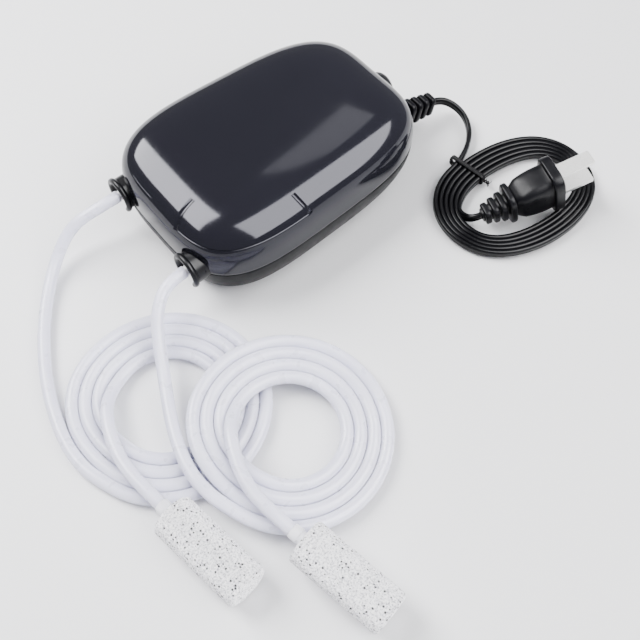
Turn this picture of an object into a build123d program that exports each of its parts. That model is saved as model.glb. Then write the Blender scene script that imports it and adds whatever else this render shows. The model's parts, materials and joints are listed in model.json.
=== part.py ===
from build123d import *

import math
import os

# Twin-outlet aquarium air pump with its airlines, air stones and mains lead. Millimetres.
# +X points at the end with the cord and the flow knob, -X at the two air outlets, +Z up.
# The origin is on the table, under the middle of the pump's length from outlet tip to knob face.

# ---- driving dimensions -------------------------------------------------------------------------
HALF_LENGTH = 59.0  # casing, half its length at the seam
HALF_WIDTH = 41.0  # casing, half its width at the seam, at mid length
TAPER = 0.07  # share of the width lost from mid length to the cord end, and gained the other way
PLAN_POWER = 3.6  # superellipse power of the casing seen from above
DOME_POWER = 4.1  # superellipse power of the casing seen from the side
OUTLINE_POINTS = 32
DOME_SECTIONS = 12
TOP_ANGLE = 85.0  # last dome section, in degrees of the superellipse's parameter
FEET_HEIGHT = 2.5
SEAM_Z = 18.5
DOME_RISE = 22.0
BASE_INSET = 4.5  # how far the base's foot line stands inside the seam line
BASE_EDGE = 1.2  # rounding of the base's lower edge
BASE_SECTIONS = 5
WALL = 2.2
FLOOR = 2.0
LIP_GAP = 0.15  # between the base's locating lip and the shell's wall
LIP_WALL = 1.0
LIP_HEIGHT = 1.9

FOOT_X, FOOT_Y, FOOT_RADIUS, FOOT_STEM = 40.0, 23.0, 5.5, 2.5
POSTS = [(-48.5, 0.0), (22.0, 29.0), (22.0, -29.0)]  # casing screws
POST_RADIUS, SCREW_WELL, SCREW_SHANK = 4.0, 3.1, 1.4
SCREW_SEAT = 11.0  # height of the shoulder that the casing screw's head pulls on

FILTER_RADIUS, FILTER_DEPTH = 12.0, 3.2

OUTLET_Y, OUTLET_Z = 23.5, 19.5
NOZZLE_TIP_X = -67.1
TUBE_END_X = -61.5  # the airline's end, pushed over the nozzle's barbs
COLLAR_RADIUS, COLLAR_BORE, COLLAR_RIM = 6.75, 5.1, 7.7
COLLAR_X = (-61.6, -53.0)
COLLAR_OPENING = 110.0  # degrees of the hood left open underneath

MECHANISM_Z = 21.0  # height of every pump axis
FRAME_Z = (8.0, 10.0)
PIVOT_X, ARM_Y, ARM_THICKNESS, ARM_HEIGHT = -38.5, 9.0, 3.0, 12.0
PIN_RADIUS, PIVOT_CLEARANCE = 1.5, 0.05
HEAD_X = -19.0  # centre of both pump heads
HEAD_HALF = 11.0
PORT_OFFSET, PORT_RADIUS = 4.8, 1.3
HEAD_SCREW = 9.0  # offset of each head screw from the head's centre
RING_Y, BODY_Y, CAVITY_Y, VALVE_Y = 12.6, 14.2, 16.0, 20.5
GASKET_Y, COVER_Y, COVER_END_Y = 23.0, 23.6, 34.0
DIAPHRAGM_RADIUS, CAVITY_RADIUS = 10.0, 8.0
FLAP_THICKNESS, FLAP_WIDTH, FLAP_ROOT, FLAP_TIP = 0.5, 3.6, 17.9, 24.1
FLAP_GAP = 0.05
NIPPLE_Y = 27.0

CORE_X = (16.0, 46.0)
CORE_SPINE = 8.0
CORE_HALF_WIDTH, CENTRE_LEG, OUTER_LEG = 18.0, 12.0, 6.0
CORE_STACK = 14.0
MAGNET_X, MAGNET_Y, MAGNET_Z = (9.0, 14.3), 8.0, 12.0

KNOB_Y, KNOB_Z, KNOB_RADIUS = 4.0, 15.5, 7.5
KNOB_X = (59.6, 67.1)
SHAFT_RADIUS, SHAFT_CLEARANCE, BUSHING_RADIUS = 2.0, 0.05, 3.5

RELIEF_AT = (58.3, -12.6, 13.6)  # where the strain relief's axis crosses the wall
RELIEF_DROOP, RELIEF_YAW = 12.0, -2.0
RELIEF_LENGTH = 20.5

# ---- airline: soft silicone tube and its air stones --------------------------------------------
TUBE = 5.0  # outside diameter
TUBE_REST = 2.55  # height of the axis of a tube that lies on the table
COIL_HEIGHT = 5.1
COIL_1 = (-96.0, -57.8)
COIL_1_OUTER, COIL_1_INNER = 39.45, 19.2
COIL_2 = (-68.0, -96.2)
COIL_2_OUTER, COIL_2_INNER = 38.75, 18.5
COIL_2_TILT = 6.0  # its far side rests on the first coil
COIL_2_LIFT = 0.03  # of its lowest edge
STONE_RADIUS, STONE_LENGTH = 8.5, 38.0
STONE_EDGE = 1.6
NIPPLE_LENGTH, NIPPLE_RADIUS = 5.0, 2.8

LEAD_1 = [
    (TUBE_END_X, OUTLET_Y, OUTLET_Z),
    (-70.5, 23.5, 19.5),
    (-83.0, 27.2, 14.2),
    (-95.5, 23.2, 4.9),
    (-107.0, 11.5, 2.55),
    (-117.0, -2.5, 2.55),
    (-125.5, -18.5, 2.55),
    (-131.2, -34.0, 2.55),
    (-134.2, -48.5, 2.55),
    (-133.9, -60.2, 2.55),
    (-130.7, -70.4, 2.55),
]
TAIL_1 = [
    (-101.6, -36.7, 2.55),
    (-109.1, -40.4, 3.9),
    (-114.6, -46.2, 7.2),
    (-118.3, -53.1, 8.0),
    (-121.0, -61.0, 8.0),
    (-122.3, -69.5, 8.0),
    (-122.0, -79.0, 8.5),
    (-120.3, -90.6, 8.5),
]
LEAD_2 = [
    (TUBE_END_X, -OUTLET_Y, OUTLET_Z),
    (-69.5, -23.5, 19.5),
    (-77.8, -28.2, 16.6),
    (-84.2, -36.3, 12.2),
    (-89.8, -47.5, 9.2),
    (-96.5, -60.0, 8.2),
    (-102.6, -74.0, 8.4),
    (-105.8, -87.0, 8.8),
    (-105.4, -98.2, 8.6),
    (-102.0, -108.6, 7.7),
]
TAIL_2 = [
    (-73.5, -75.8, 8.65),
    (-80.7, -79.4, 10.2),
    (-85.9, -85.0, 13.3),
    (-89.5, -91.6, 13.8),
    (-92.6, -99.8, 13.6),
    (-94.0, -109.8, 13.4),
    (-93.0, -119.7, 14.12),
    (-91.4, -127.7, 13.27),
]

# ---- mains lead: flat twin flex laid on edge, wound into an oval, with a two-blade plug --------
FLEX_THIN, FLEX_WIDE = 2.7, 3.8
FLEX_REST = 2.55  # height of its axis, which the tie lifts off the table
TIE_THICK = 0.6
OVAL_CENTRE, OVAL_INNER_CENTRE = (76.0, -70.6), (76.5, -72.0)
OVAL_RADIUS, OVAL_INNER_RADIUS = 29.1, 15.6  # of the ends of the oval's outside and hole
OVAL_STRETCH, OVAL_INNER_STRETCH = 9.0, 11.6
OVAL_TURN = -5.0

PLUG_AT = (53.8, -72.0, 7.95)
PLUG_HEADING, PLUG_RISE = -19.0, 14.0


def along(start, heading, rise, distance):
    """Point at a distance from a start, on a heading in plan and a rise, both in degrees."""
    turn, climb = math.radians(heading), math.radians(rise)
    flat = distance * math.cos(climb)
    return (
        start[0] + flat * math.cos(turn),
        start[1] + flat * math.sin(turn),
        start[2] + distance * math.sin(climb),
    )


FLEX_LEAD = [
    along(RELIEF_AT, RELIEF_YAW, -RELIEF_DROOP, RELIEF_LENGTH),
    along(RELIEF_AT, RELIEF_YAW, -RELIEF_DROOP, RELIEF_LENGTH + 5.5),
    (87.9, -18.5, 6.6),
    (88.8, -25.6, 4.5),
    (85.8, -32.2, 2.9),
    (80.4, -37.2, 2.55),
    (74.2, -40.7, 2.55),
    (67.7, -43.0, 2.55),
]
FLEX_END = [
    (51.5, -60.8, 2.55),
    (49.6, -64.6, 3.5),
    along(PLUG_AT, PLUG_HEADING, PLUG_RISE, -4.4),
    PLUG_AT,
]
BLADE_ROOT = 33.6  # plug's length from the end of its boot to its face
BLADE_SPACING, BLADE_WIDTH, BLADE_THICKNESS, BLADE_LENGTH = 12.7, 6.35, 1.5, 15.6


# ---- helpers ------------------------------------------------------------------------------------
def block(x, y, z):
    """Box between two values on each axis."""
    sizes = [high - low for low, high in (x, y, z)]
    middle = [(high + low) / 2 for low, high in (x, y, z)]
    return Pos(*middle) * Box(*sizes)


def rod_x(radius, x, y, z):
    return Pos((x[0] + x[1]) / 2, y, z) * Rot(0, 90, 0) * Cylinder(radius, x[1] - x[0])


def rod_y(radius, x, y, z):
    return Pos(x, (y[0] + y[1]) / 2, z) * Rot(90, 0, 0) * Cylinder(radius, y[1] - y[0])


def rod_z(radius, x, y, z):
    return Pos(x, y, (z[0] + z[1]) / 2) * Cylinder(radius, z[1] - z[0])


def slab(length, width, height, radius, x=0.0):
    """Plate square to X with rounded corners, its back face at x."""
    return Pos(x, 0, 0) * extrude(Plane.YZ * RectangleRounded(width, height, radius), length)


def polar(centre, radius, degrees):
    angle = math.radians(degrees)
    return centre[0] + radius * math.cos(angle), centre[1] + radius * math.sin(angle)


def write(name, shape):
    export_step(shape, f"parts/{name}.step")


def write_pair(name, shape):
    """Writes a piece drawn on the +Y side as number 1, and its mirror image as number 2."""
    write(f"{name}_1", shape)
    write(f"{name}_2", mirror(shape, about=Plane.XZ))


def both_sides(shape):
    return Compound(children=[Part() + shape, Part() + mirror(shape, about=Plane.XZ)])


# ---- casing -------------------------------------------------------------------------------------
def signed_power(value, power):
    return math.copysign(abs(value) ** power, value)


def outline(half_length, half_width, z):
    """The casing's plan at a height: a superellipse, narrower towards the cord end."""
    points = []
    for i in range(OUTLINE_POINTS):
        angle = 2 * math.pi * i / OUTLINE_POINTS
        along = signed_power(math.cos(angle), 2 / PLAN_POWER)
        across = signed_power(math.sin(angle), 2 / PLAN_POWER)
        points.append((half_length * along, half_width * across * (1 - TAPER * along), z))
    return make_face(Spline(*points, periodic=True))


def dome(inset):
    """The upper casing's solid, drawn in from its outside on every face by the inset."""
    sections = []
    for i in range(DOME_SECTIONS + 1):
        angle = math.radians(TOP_ANGLE) * (i / DOME_SECTIONS) ** 1.4
        shrink = math.cos(angle) ** (2 / DOME_POWER)
        rise = (DOME_RISE - inset) * math.sin(angle) ** (2 / DOME_POWER)
        size = (HALF_LENGTH - inset) * shrink, (HALF_WIDTH - inset) * shrink
        sections.append(outline(*size, SEAM_Z + rise))
    return loft(sections)


def base_inset(z):
    below_seam = (SEAM_Z - z) / (SEAM_Z - FEET_HEIGHT)
    edge = max(0.0, 1 - (z - FEET_HEIGHT) / BASE_EDGE)
    return BASE_INSET * below_seam**2 + BASE_EDGE * edge**2


def tray(inset, bottom, top=SEAM_Z):
    sections = []
    for i in range(BASE_SECTIONS + 1):
        z = bottom + (top - bottom) * (i / BASE_SECTIONS) ** 1.5
        edge = base_inset(z) + inset
        sections.append(outline(HALF_LENGTH - edge, HALF_WIDTH - edge, z))
    return loft(sections)


def band(outer_inset, inner_inset, z):
    """Upright wall that follows the seam line between two insets."""
    outer = outline(HALF_LENGTH - outer_inset, HALF_WIDTH - outer_inset, z[0])
    inner = outline(HALF_LENGTH - inner_inset, HALF_WIDTH - inner_inset, z[0])
    return extrude(outer, z[1] - z[0]) - extrude(inner, z[1] - z[0])


def relief_place():
    return Pos(*RELIEF_AT) * Rot(0, 0, RELIEF_YAW) * Rot(0, RELIEF_DROOP, 0)


def wall_openings():
    """What passes through the casing's walls: two outlets, the knob's bushing and the cord."""
    cut = both_sides(rod_x(COLLAR_RADIUS + 0.05, (-70, -50), OUTLET_Y, OUTLET_Z))
    cut += rod_x(BUSHING_RADIUS + 0.1, (50, 70), KNOB_Y, KNOB_Z)
    cut += relief_place() * Box(10, 6.6, 9.1)
    cut += relief_place() * Pos(-6.0, 0, 0) * Box(6.4, 9.0, 12.0)
    return cut


def make_top_shell():
    outside = dome(0)
    shell = outside - dome(WALL) - rod_z(200, 0, 0, (SEAM_Z - 50, SEAM_Z))
    for x, y in POSTS:
        post = rod_z(POST_RADIUS, x, y, (SEAM_Z, SEAM_Z + DOME_RISE)) & dome(WALL / 2)
        shell += post
        shell -= rod_z(SCREW_SHANK + 0.05, x, y, (SEAM_Z, SEAM_Z + 10))
    return shell - wall_openings()


def make_base_tray():
    base = tray(0, FEET_HEIGHT) - tray(WALL, FEET_HEIGHT + FLOOR)
    lip_inner = WALL + LIP_GAP + LIP_WALL
    base += band(WALL - 0.2, lip_inner, (SEAM_Z - 2, SEAM_Z))
    base += band(WALL + LIP_GAP, lip_inner, (SEAM_Z, SEAM_Z + LIP_HEIGHT))
    cup_top = FEET_HEIGHT + FILTER_DEPTH + 1.5
    base += rod_z(FILTER_RADIUS + 1.5, 0, 0, (FEET_HEIGHT + FLOOR / 2, cup_top))
    base -= rod_z(FILTER_RADIUS, 0, 0, (FEET_HEIGHT - 1, FEET_HEIGHT + FILTER_DEPTH))
    for i in range(6):
        x, y = polar((0, 0), 7.0, 60 * i)
        base -= rod_z(1.5, x, y, (FEET_HEIGHT, cup_top + 1))
    for x, y in POSTS:
        base += rod_z(POST_RADIUS, x, y, (FEET_HEIGHT + FLOOR / 2, SEAM_Z))
        base -= rod_z(SCREW_WELL, x, y, (0, SCREW_SEAT))
        base -= rod_z(SCREW_SHANK + 0.2, x, y, (0, SEAM_Z))
        base -= rod_z(POST_RADIUS + 0.1, x, y, (SEAM_Z, SEAM_Z + 5))
    for x in (-FOOT_X, FOOT_X):
        for y in (-FOOT_Y, FOOT_Y):
            base -= rod_z(FOOT_STEM, x, y, (0, FEET_HEIGHT + FLOOR + 1))
    return base - wall_openings()


def make_feet():
    feet = []
    for x in (-FOOT_X, FOOT_X):
        for y in (-FOOT_Y, FOOT_Y):
            pad = Pos(x, y, FEET_HEIGHT / 2) * Cylinder(FOOT_RADIUS, FEET_HEIGHT)
            pad = chamfer(pad.edges().group_by(Axis.Z)[0], 0.6)
            stem = rod_z(FOOT_STEM - 0.05, x, y, (FEET_HEIGHT, FEET_HEIGHT + FLOOR + 0.05))
            head = Pos(x, y, FEET_HEIGHT + FLOOR + 0.85) * Cone(3.4, 2.2, 1.6)
            feet.append(pad + stem + head)
    return Compound(children=feet)


def make_casing_screws():
    screws = []
    for x, y in POSTS:
        head = rod_z(2.8, x, y, (SCREW_SEAT - 2.0, SCREW_SEAT))
        slot = block((x - 2, x + 2), (y - 0.4, y + 0.4), (SCREW_SEAT - 2.0, SCREW_SEAT - 1.2))
        cross = block((x - 0.4, x + 0.4), (y - 2, y + 2), (SCREW_SEAT - 2.0, SCREW_SEAT - 1.2))
        shank = rod_z(SCREW_SHANK, x, y, (SCREW_SEAT, SEAM_Z + 9))
        screws.append(head - slot - cross + shank)
    return Compound(children=screws)


def make_filter_cover():
    z = (FEET_HEIGHT + 0.1, FEET_HEIGHT + 1.1)
    cover = rod_z(FILTER_RADIUS - 0.1, 0, 0, z)
    for i in range(-3, 4):
        reach = math.sqrt((FILTER_RADIUS - 2.5) ** 2 - (2.6 * i) ** 2)
        cover -= block((2.6 * i - 0.7, 2.6 * i + 0.7), (-reach, reach), (0, 10))
    return cover


def make_filter_pad():
    z = (FEET_HEIGHT + 1.15, FEET_HEIGHT + FILTER_DEPTH - 0.05)
    return rod_z(FILTER_RADIUS - 0.2, 0, 0, z)


# ---- air outlets --------------------------------------------------------------------------------
def make_collar():
    y, z = OUTLET_Y, OUTLET_Z
    hood = rod_x(COLLAR_RADIUS, COLLAR_X, y, z)
    rim = rod_x(COLLAR_RIM, (COLLAR_X[0] - 0.3, COLLAR_X[0] + 1.5), y, z)
    hood += fillet(rim.edges(), 0.7)
    hood -= rod_x(COLLAR_BORE, (COLLAR_X[0] - 1, COLLAR_X[1] + 1), y, z)
    reach = 20.0
    half = math.radians(COLLAR_OPENING / 2)
    wedge = Polygon(
        (0, 0),
        (-reach * math.sin(half), -reach * math.cos(half)),
        (reach * math.sin(half), -reach * math.cos(half)),
        align=None,
    )
    outside = Pos(-59.0, y, z) * (Plane.YZ * wedge)
    return hood - extrude(outside, -10)


def make_nozzle():
    y, z = OUTLET_Y, OUTLET_Z
    nozzle = rod_x(1.6, (NOZZLE_TIP_X, -48.0), y, z)
    for i in range(4):
        barb = Pos(NOZZLE_TIP_X + 1.0 + 1.7 * i, y, z) * Rot(0, 90, 0) * Cone(1.6, 2.3, 1.6)
        nozzle += barb
    nozzle += rod_x(COLLAR_BORE - 0.05, (-56.0, -54.0), y, z)
    nozzle += rod_x(2.0, (-54.0, -48.0), y, z)
    return nozzle - rod_x(1.0, (NOZZLE_TIP_X - 1, -47.0), y, z)


def make_hose():
    """Short hose inside the casing, from the pump head's nipple to the outlet nozzle."""
    route = [
        (-53.0, OUTLET_Y, OUTLET_Z),
        (-46.0, OUTLET_Y, OUTLET_Z),
        (-40.0, NIPPLE_Y, MECHANISM_Z),
        (-31.0, NIPPLE_Y, MECHANISM_Z),
    ]
    path = FilletPolyline(*route, radius=[6.0, 6.0])
    place = Plane(origin=path @ 0, z_dir=path % 0)
    return sweep(place * Circle(3.0), path) - sweep(place * Circle(2.0), path)


# ---- pump mechanism, drawn on the +Y side -------------------------------------------------------
def head_pattern(radius, y):
    """The four screw places of a pump head."""
    rods = Part()
    for dx in (-HEAD_SCREW, HEAD_SCREW):
        for dz in (-HEAD_SCREW, HEAD_SCREW):
            rods += rod_y(radius, HEAD_X + dx, y, MECHANISM_Z + dz)
    return rods


def head_block(y):
    x = (HEAD_X - HEAD_HALF, HEAD_X + HEAD_HALF)
    z = (MECHANISM_Z - HEAD_HALF, MECHANISM_Z + HEAD_HALF)
    return fillet(block(x, y, z).edges().filter_by(Axis.Y), 2.0)


def make_clamp_ring():
    ring = head_block((RING_Y, BODY_Y))
    ring -= rod_y(7.7, HEAD_X, (RING_Y - 1, BODY_Y + 1), MECHANISM_Z)
    return ring - head_pattern(1.2, (RING_Y - 1, BODY_Y + 1))


def make_diaphragm():
    """Rubber disc with a thick rim, a thick middle and one moulded roll between them."""
    low, high = BODY_Y + 0.05, CAVITY_Y - 0.05
    with BuildSketch(Plane.XY) as profile:
        with BuildLine():
            Polyline((1.3, low), (4.2, low))
            ThreePointArc((4.2, low), (6.0, low - 1.0), (7.7, low))
            Polyline((7.7, low), (DIAPHRAGM_RADIUS, low), (DIAPHRAGM_RADIUS, high), (8.1, high))
            Line((8.1, high), (7.3, low + 0.75))
            ThreePointArc((7.3, low + 0.75), (6.0, low - 0.15), (4.6, low + 0.75))
            Polyline((4.6, low + 0.75), (3.9, high - 0.15), (1.3, high - 0.15), (1.3, low))
        make_face()
    disc = revolve(profile.sketch, Axis.Y)
    return Pos(HEAD_X, 0, MECHANISM_Z) * disc


def make_head_body():
    body = head_block((BODY_Y, GASKET_Y))
    body -= rod_y(DIAPHRAGM_RADIUS + 0.05, HEAD_X, (BODY_Y - 1, CAVITY_Y), MECHANISM_Z)
    body -= rod_y(CAVITY_RADIUS, HEAD_X, (CAVITY_Y, VALVE_Y), MECHANISM_Z)
    for x in (HEAD_X - PORT_OFFSET, HEAD_X + PORT_OFFSET):
        body -= rod_y(PORT_RADIUS, x, (VALVE_Y - 1, GASKET_Y + 1), MECHANISM_Z)
    return body - head_pattern(1.25, (BODY_Y - 1, GASKET_Y + 1))


def valve_window(offset, y):
    x = HEAD_X + offset
    return block((x - 2.8, x + 2.8), y, (FLAP_ROOT - 0.7, FLAP_TIP + 1.0))


def make_gasket():
    sheet = head_block((GASKET_Y, COVER_Y))
    sheet -= valve_window(-PORT_OFFSET, (GASKET_Y - 1, COVER_Y + 1))
    sheet -= valve_window(PORT_OFFSET, (GASKET_Y - 1, COVER_Y + 1))
    return sheet - head_pattern(1.25, (GASKET_Y - 1, COVER_Y + 1))


def make_valve_cover():
    cover = head_block((COVER_Y, COVER_END_Y))
    for side in (-1, 1):
        x = sorted((HEAD_X + side * 1.2, HEAD_X + side * 9.4))
        cover -= block(x, (COVER_Y - 1, COVER_END_Y - 3), (MECHANISM_Z - 6.2, MECHANISM_Z + 6.2))
    cover -= head_pattern(1.25, (COVER_Y - 1, COVER_END_Y + 1))
    cover -= rod_y(1.5, HEAD_X + PORT_OFFSET, (COVER_END_Y - 4, COVER_END_Y + 1), MECHANISM_Z)
    wall_x = HEAD_X - HEAD_HALF
    cover += rod_x(2.0, (wall_x - 6.5, wall_x + 1), NIPPLE_Y, MECHANISM_Z)
    return cover - rod_x(1.1, (wall_x - 8, wall_x + 2), NIPPLE_Y, MECHANISM_Z)


def make_exhaust_flap():
    x = HEAD_X - PORT_OFFSET
    y = GASKET_Y + FLAP_GAP
    tongue = block(
        (x - FLAP_WIDTH / 2, x + FLAP_WIDTH / 2), (y, y + FLAP_THICKNESS), (FLAP_ROOT, FLAP_TIP)
    )
    return fillet(tongue.edges().filter_by(Axis.Y).group_by(Axis.Z)[-1], 1.2)


def make_intake_flap():
    x = HEAD_X + PORT_OFFSET
    y = VALVE_Y - FLAP_GAP
    tongue = block(
        (x - FLAP_WIDTH / 2, x + FLAP_WIDTH / 2), (y - FLAP_THICKNESS, y), (FLAP_ROOT, FLAP_TIP)
    )
    return fillet(tongue.edges().filter_by(Axis.Y).group_by(Axis.Z)[-1], 1.2)


def make_head_screws():
    screws = Part()
    for dx in (-HEAD_SCREW, HEAD_SCREW):
        for dz in (-HEAD_SCREW, HEAD_SCREW):
            x, z = HEAD_X + dx, MECHANISM_Z + dz
            screw = rod_y(2.2, x, (COVER_END_Y, COVER_END_Y + 1.6), z)
            screw -= block((x - 1.6, x + 1.6), (COVER_END_Y + 0.9, 40), (z - 0.3, z + 0.3))
            screws += screw + rod_y(1.15, x, (RING_Y + 0.2, COVER_END_Y), z)
    return screws


def make_rocker_arm():
    y = (ARM_Y - ARM_THICKNESS / 2, ARM_Y + ARM_THICKNESS / 2)
    half = ARM_HEIGHT / 2
    arm = block((PIVOT_X, 7.0), y, (MECHANISM_Z - half, MECHANISM_Z + half))
    arm += rod_z(4.0, PIVOT_X, ARM_Y, (MECHANISM_Z - 7.2, MECHANISM_Z + 7.2))
    arm -= rod_z(PIN_RADIUS + PIVOT_CLEARANCE, PIVOT_X, ARM_Y, (0, 40))
    arm += block((6.0, MAGNET_X[0]), (ARM_Y - 4.4, ARM_Y + 4.4), (MECHANISM_Z - 6.4, MECHANISM_Z + 6.4))
    arm += rod_y(3.0, HEAD_X, (ARM_Y, BODY_Y), MECHANISM_Z)
    return arm - rod_y(1.2, HEAD_X, (ARM_Y + 2, BODY_Y + 1), MECHANISM_Z)


def make_arm_magnet():
    y = (ARM_Y - MAGNET_Y / 2, ARM_Y + MAGNET_Y / 2)
    magnet = block(MAGNET_X, y, (MECHANISM_Z - MAGNET_Z / 2, MECHANISM_Z + MAGNET_Z / 2))
    return chamfer(magnet.edges().filter_by(Axis.X), 0.5)


def make_diaphragm_washer():
    y = (CAVITY_Y - 0.15, CAVITY_Y + 0.85)
    return rod_y(3.7, HEAD_X, y, MECHANISM_Z) - rod_y(1.25, HEAD_X, (10, 20), MECHANISM_Z)


def make_diaphragm_screw():
    seat = CAVITY_Y + 0.85
    screw = rod_y(2.3, HEAD_X, (seat, seat + 1.6), MECHANISM_Z)
    z = (MECHANISM_Z - 0.3, MECHANISM_Z + 0.3)
    screw -= block((HEAD_X - 3, HEAD_X + 3), (seat + 0.9, seat + 2), z)
    return screw + rod_y(1.15, HEAD_X, (ARM_Y + 2.5, seat), MECHANISM_Z)


# ---- frame, magnet core and winding -------------------------------------------------------------
def make_frame():
    """Moulded chassis: floor plate, two wings under the pump heads, and the arms' pivot yoke."""
    frame = block((-44, 47), (-18, 18), FRAME_Z)
    frame += block((HEAD_X - HEAD_HALF - 1, HEAD_X + HEAD_HALF + 1), (-33.8, 33.8), FRAME_Z)
    frame -= block((16.5, 38.0), (-12.2, 12.2), (0, 20))
    core_foot = MECHANISM_Z - CORE_STACK / 2
    frame += block((38.5, 46.0), (-18, 18), (FRAME_Z[1], core_foot))
    for side in (-1, 1):
        y = sorted((side * 12.4, side * 18.0))
        frame += block((17.0, 22.0), y, (FRAME_Z[1], core_foot))
        frame -= rod_z(1.3, 42.0, side * 14.0, (0, 20))
    yoke_gap = 7.3
    frame += block((-44, -33), (-14, 14), (FRAME_Z[1], MECHANISM_Z - yoke_gap))
    frame += block((-44, -33), (-14, 14), (MECHANISM_Z + yoke_gap, MECHANISM_Z + yoke_gap + 2.2))
    frame += block((-44, -42.9), (-14, 14), (FRAME_Z[1], MECHANISM_Z + yoke_gap + 2.2))
    for side in (-1, 1):
        frame -= rod_z(PIN_RADIUS, PIVOT_X, side * ARM_Y, (FRAME_Z[1] + 0.5, 40))
    return frame


def make_pivot_pins():
    z = (FRAME_Z[1] + 0.5, MECHANISM_Z + 9.5)
    return both_sides(rod_z(PIN_RADIUS, PIVOT_X, ARM_Y, z))


def make_isolators():
    """Soft grommets that keep the vibrating frame off the casing's floor."""
    pads = []
    for x in (-38.0, 40.0):
        for y in (-12.0, 12.0):
            pad = rod_z(4.0, x, y, (FEET_HEIGHT + FLOOR, FRAME_Z[0]))
            waist = Pos(x, y, (FEET_HEIGHT + FLOOR + FRAME_Z[0]) / 2) * Torus(4.4, 0.9)
            pads.append(pad - waist)
    return Compound(children=pads)


def make_core():
    """E-shaped stack of steel laminations, its three legs pointing at the arms' magnets."""
    z = (MECHANISM_Z - CORE_STACK / 2, MECHANISM_Z + CORE_STACK / 2)
    core = block((CORE_X[1] - CORE_SPINE, CORE_X[1]), (-CORE_HALF_WIDTH, CORE_HALF_WIDTH), z)
    core += block((CORE_X[0], CORE_X[1]), (-CENTRE_LEG / 2, CENTRE_LEG / 2), z)
    for side in (-1, 1):
        y = sorted((side * (CORE_HALF_WIDTH - OUTER_LEG), side * CORE_HALF_WIDTH))
        core += block((CORE_X[0], CORE_X[1]), y, z)
        core -= rod_z(1.6, 42.0, side * 14.0, (0, 40))
    return core


def make_core_screws():
    top = MECHANISM_Z + CORE_STACK / 2
    screw = rod_z(2.8, 42.0, 14.0, (top, top + 2.0))
    screw -= block((40.0, 44.0), (13.6, 14.4), (top + 1.2, top + 3))
    return both_sides(screw + rod_z(1.25, 42.0, 14.0, (FRAME_Z[0] + 0.5, top)))


def sleeve(x, half_y, half_z):
    return block(x, (-half_y, half_y), (MECHANISM_Z - half_z, MECHANISM_Z + half_z))


def make_bobbin():
    leg_y, leg_z = CENTRE_LEG / 2 + 0.15, CORE_STACK / 2 + 0.15
    bobbin = sleeve((17.0, 37.5), leg_y + 1, leg_z + 1)
    bobbin += sleeve((17.0, 18.2), 11.4, 11.6)
    bobbin += sleeve((36.3, 37.5), 11.4, 11.6)
    return bobbin - sleeve((16.0, 38.5), leg_y, leg_z)


def make_winding():
    copper = fillet(sleeve((18.25, 36.25), 10.8, 11.2).edges().filter_by(Axis.X), 3.0)
    return copper - sleeve((17.0, 38.0), CENTRE_LEG / 2 + 1.2, CORE_STACK / 2 + 1.2)


# ---- flow control and wiring --------------------------------------------------------------------
def make_circuit_board():
    board = block((47.2, 48.8), (-20.0, 12.0), (8.4, 27.0))
    for z in (12.0, 17.0):
        board -= rod_x(0.9, (46, 50), -12.6, z)
    return board - rod_x(1.2, (46, 50), 8.0, 24.0)


def make_flow_dial():
    """Rotary control on the board: its can, and the bushing that reaches through the wall."""
    dial = rod_x(5.5, (48.8, 54.5), KNOB_Y, KNOB_Z)
    dial += rod_x(BUSHING_RADIUS, (54.5, 59.0), KNOB_Y, KNOB_Z)
    return dial - rod_x(SHAFT_RADIUS + SHAFT_CLEARANCE, (50.0, 60.0), KNOB_Y, KNOB_Z)


def make_dial_shaft():
    return rod_x(SHAFT_RADIUS, (50.2, KNOB_X[1] - 1.2), KNOB_Y, KNOB_Z)


def make_knob():
    knob = rod_x(KNOB_RADIUS, KNOB_X, KNOB_Y, KNOB_Z)
    knob = fillet(knob.edges().group_by(Axis.X)[-1], 3.6)
    grips = 20
    for i in range(grips):
        y, z = polar((KNOB_Y, KNOB_Z), KNOB_RADIUS + 0.25, 360 * i / grips)
        knob -= rod_x(0.55, (KNOB_X[0] - 1, KNOB_X[1] + 1), y, z)
    knob -= rod_x(SHAFT_RADIUS, (KNOB_X[0] - 1, KNOB_X[1] - 1.2), KNOB_Y, KNOB_Z)
    pointer = block(
        (KNOB_X[1] - 0.4, KNOB_X[1] + 1), (KNOB_Y - 0.4, KNOB_Y + 0.4), (KNOB_Z + 2, KNOB_Z + 5)
    )
    return knob - pointer


def make_wires():
    """Two mains wires from the cord to the board, and two from the board to the winding."""
    wires = []
    for z in (12.0, 17.0):
        wires.append(rod_x(0.8, (48.0, 52.9), -12.6, z))
    for y in (-4.0, 4.0):
        route = [(48.0, y, 27.0), (48.0, y, 30.4), (37.5, y, 30.4)]
        path = FilletPolyline(*route, radius=2.0)
        place = Plane(origin=path @ 0, z_dir=path % 0)
        wires.append(sweep(place * Circle(0.6), path))
    return Compound(children=wires)


def make_strain_relief():
    """Ribbed rubber boot: flange and groove in the wall, five plates outside, tapering."""
    plates, pitch = 5, 4.0
    neck = slab(6.0, 6.4, 8.9, 1.0, x=-3.0)
    flange = slab(1.7, 8.6, 11.5, 1.0, x=-4.6)
    spine = loft(
        [
            Plane.YZ.offset(2.0) * RectangleRounded(5.4, 7.6, 1.0),
            Plane.YZ.offset(RELIEF_LENGTH) * RectangleRounded(4.2, 5.4, 1.0),
        ]
    )
    boot = neck + flange + spine
    for i in range(plates):
        share = i / (plates - 1)
        x = 1.9 + pitch * i
        boot += slab(2.3, 8.2 - 1.6 * share, 12.0 - 2.6 * share, 0.9, x=x)
    return relief_place() * boot


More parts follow.
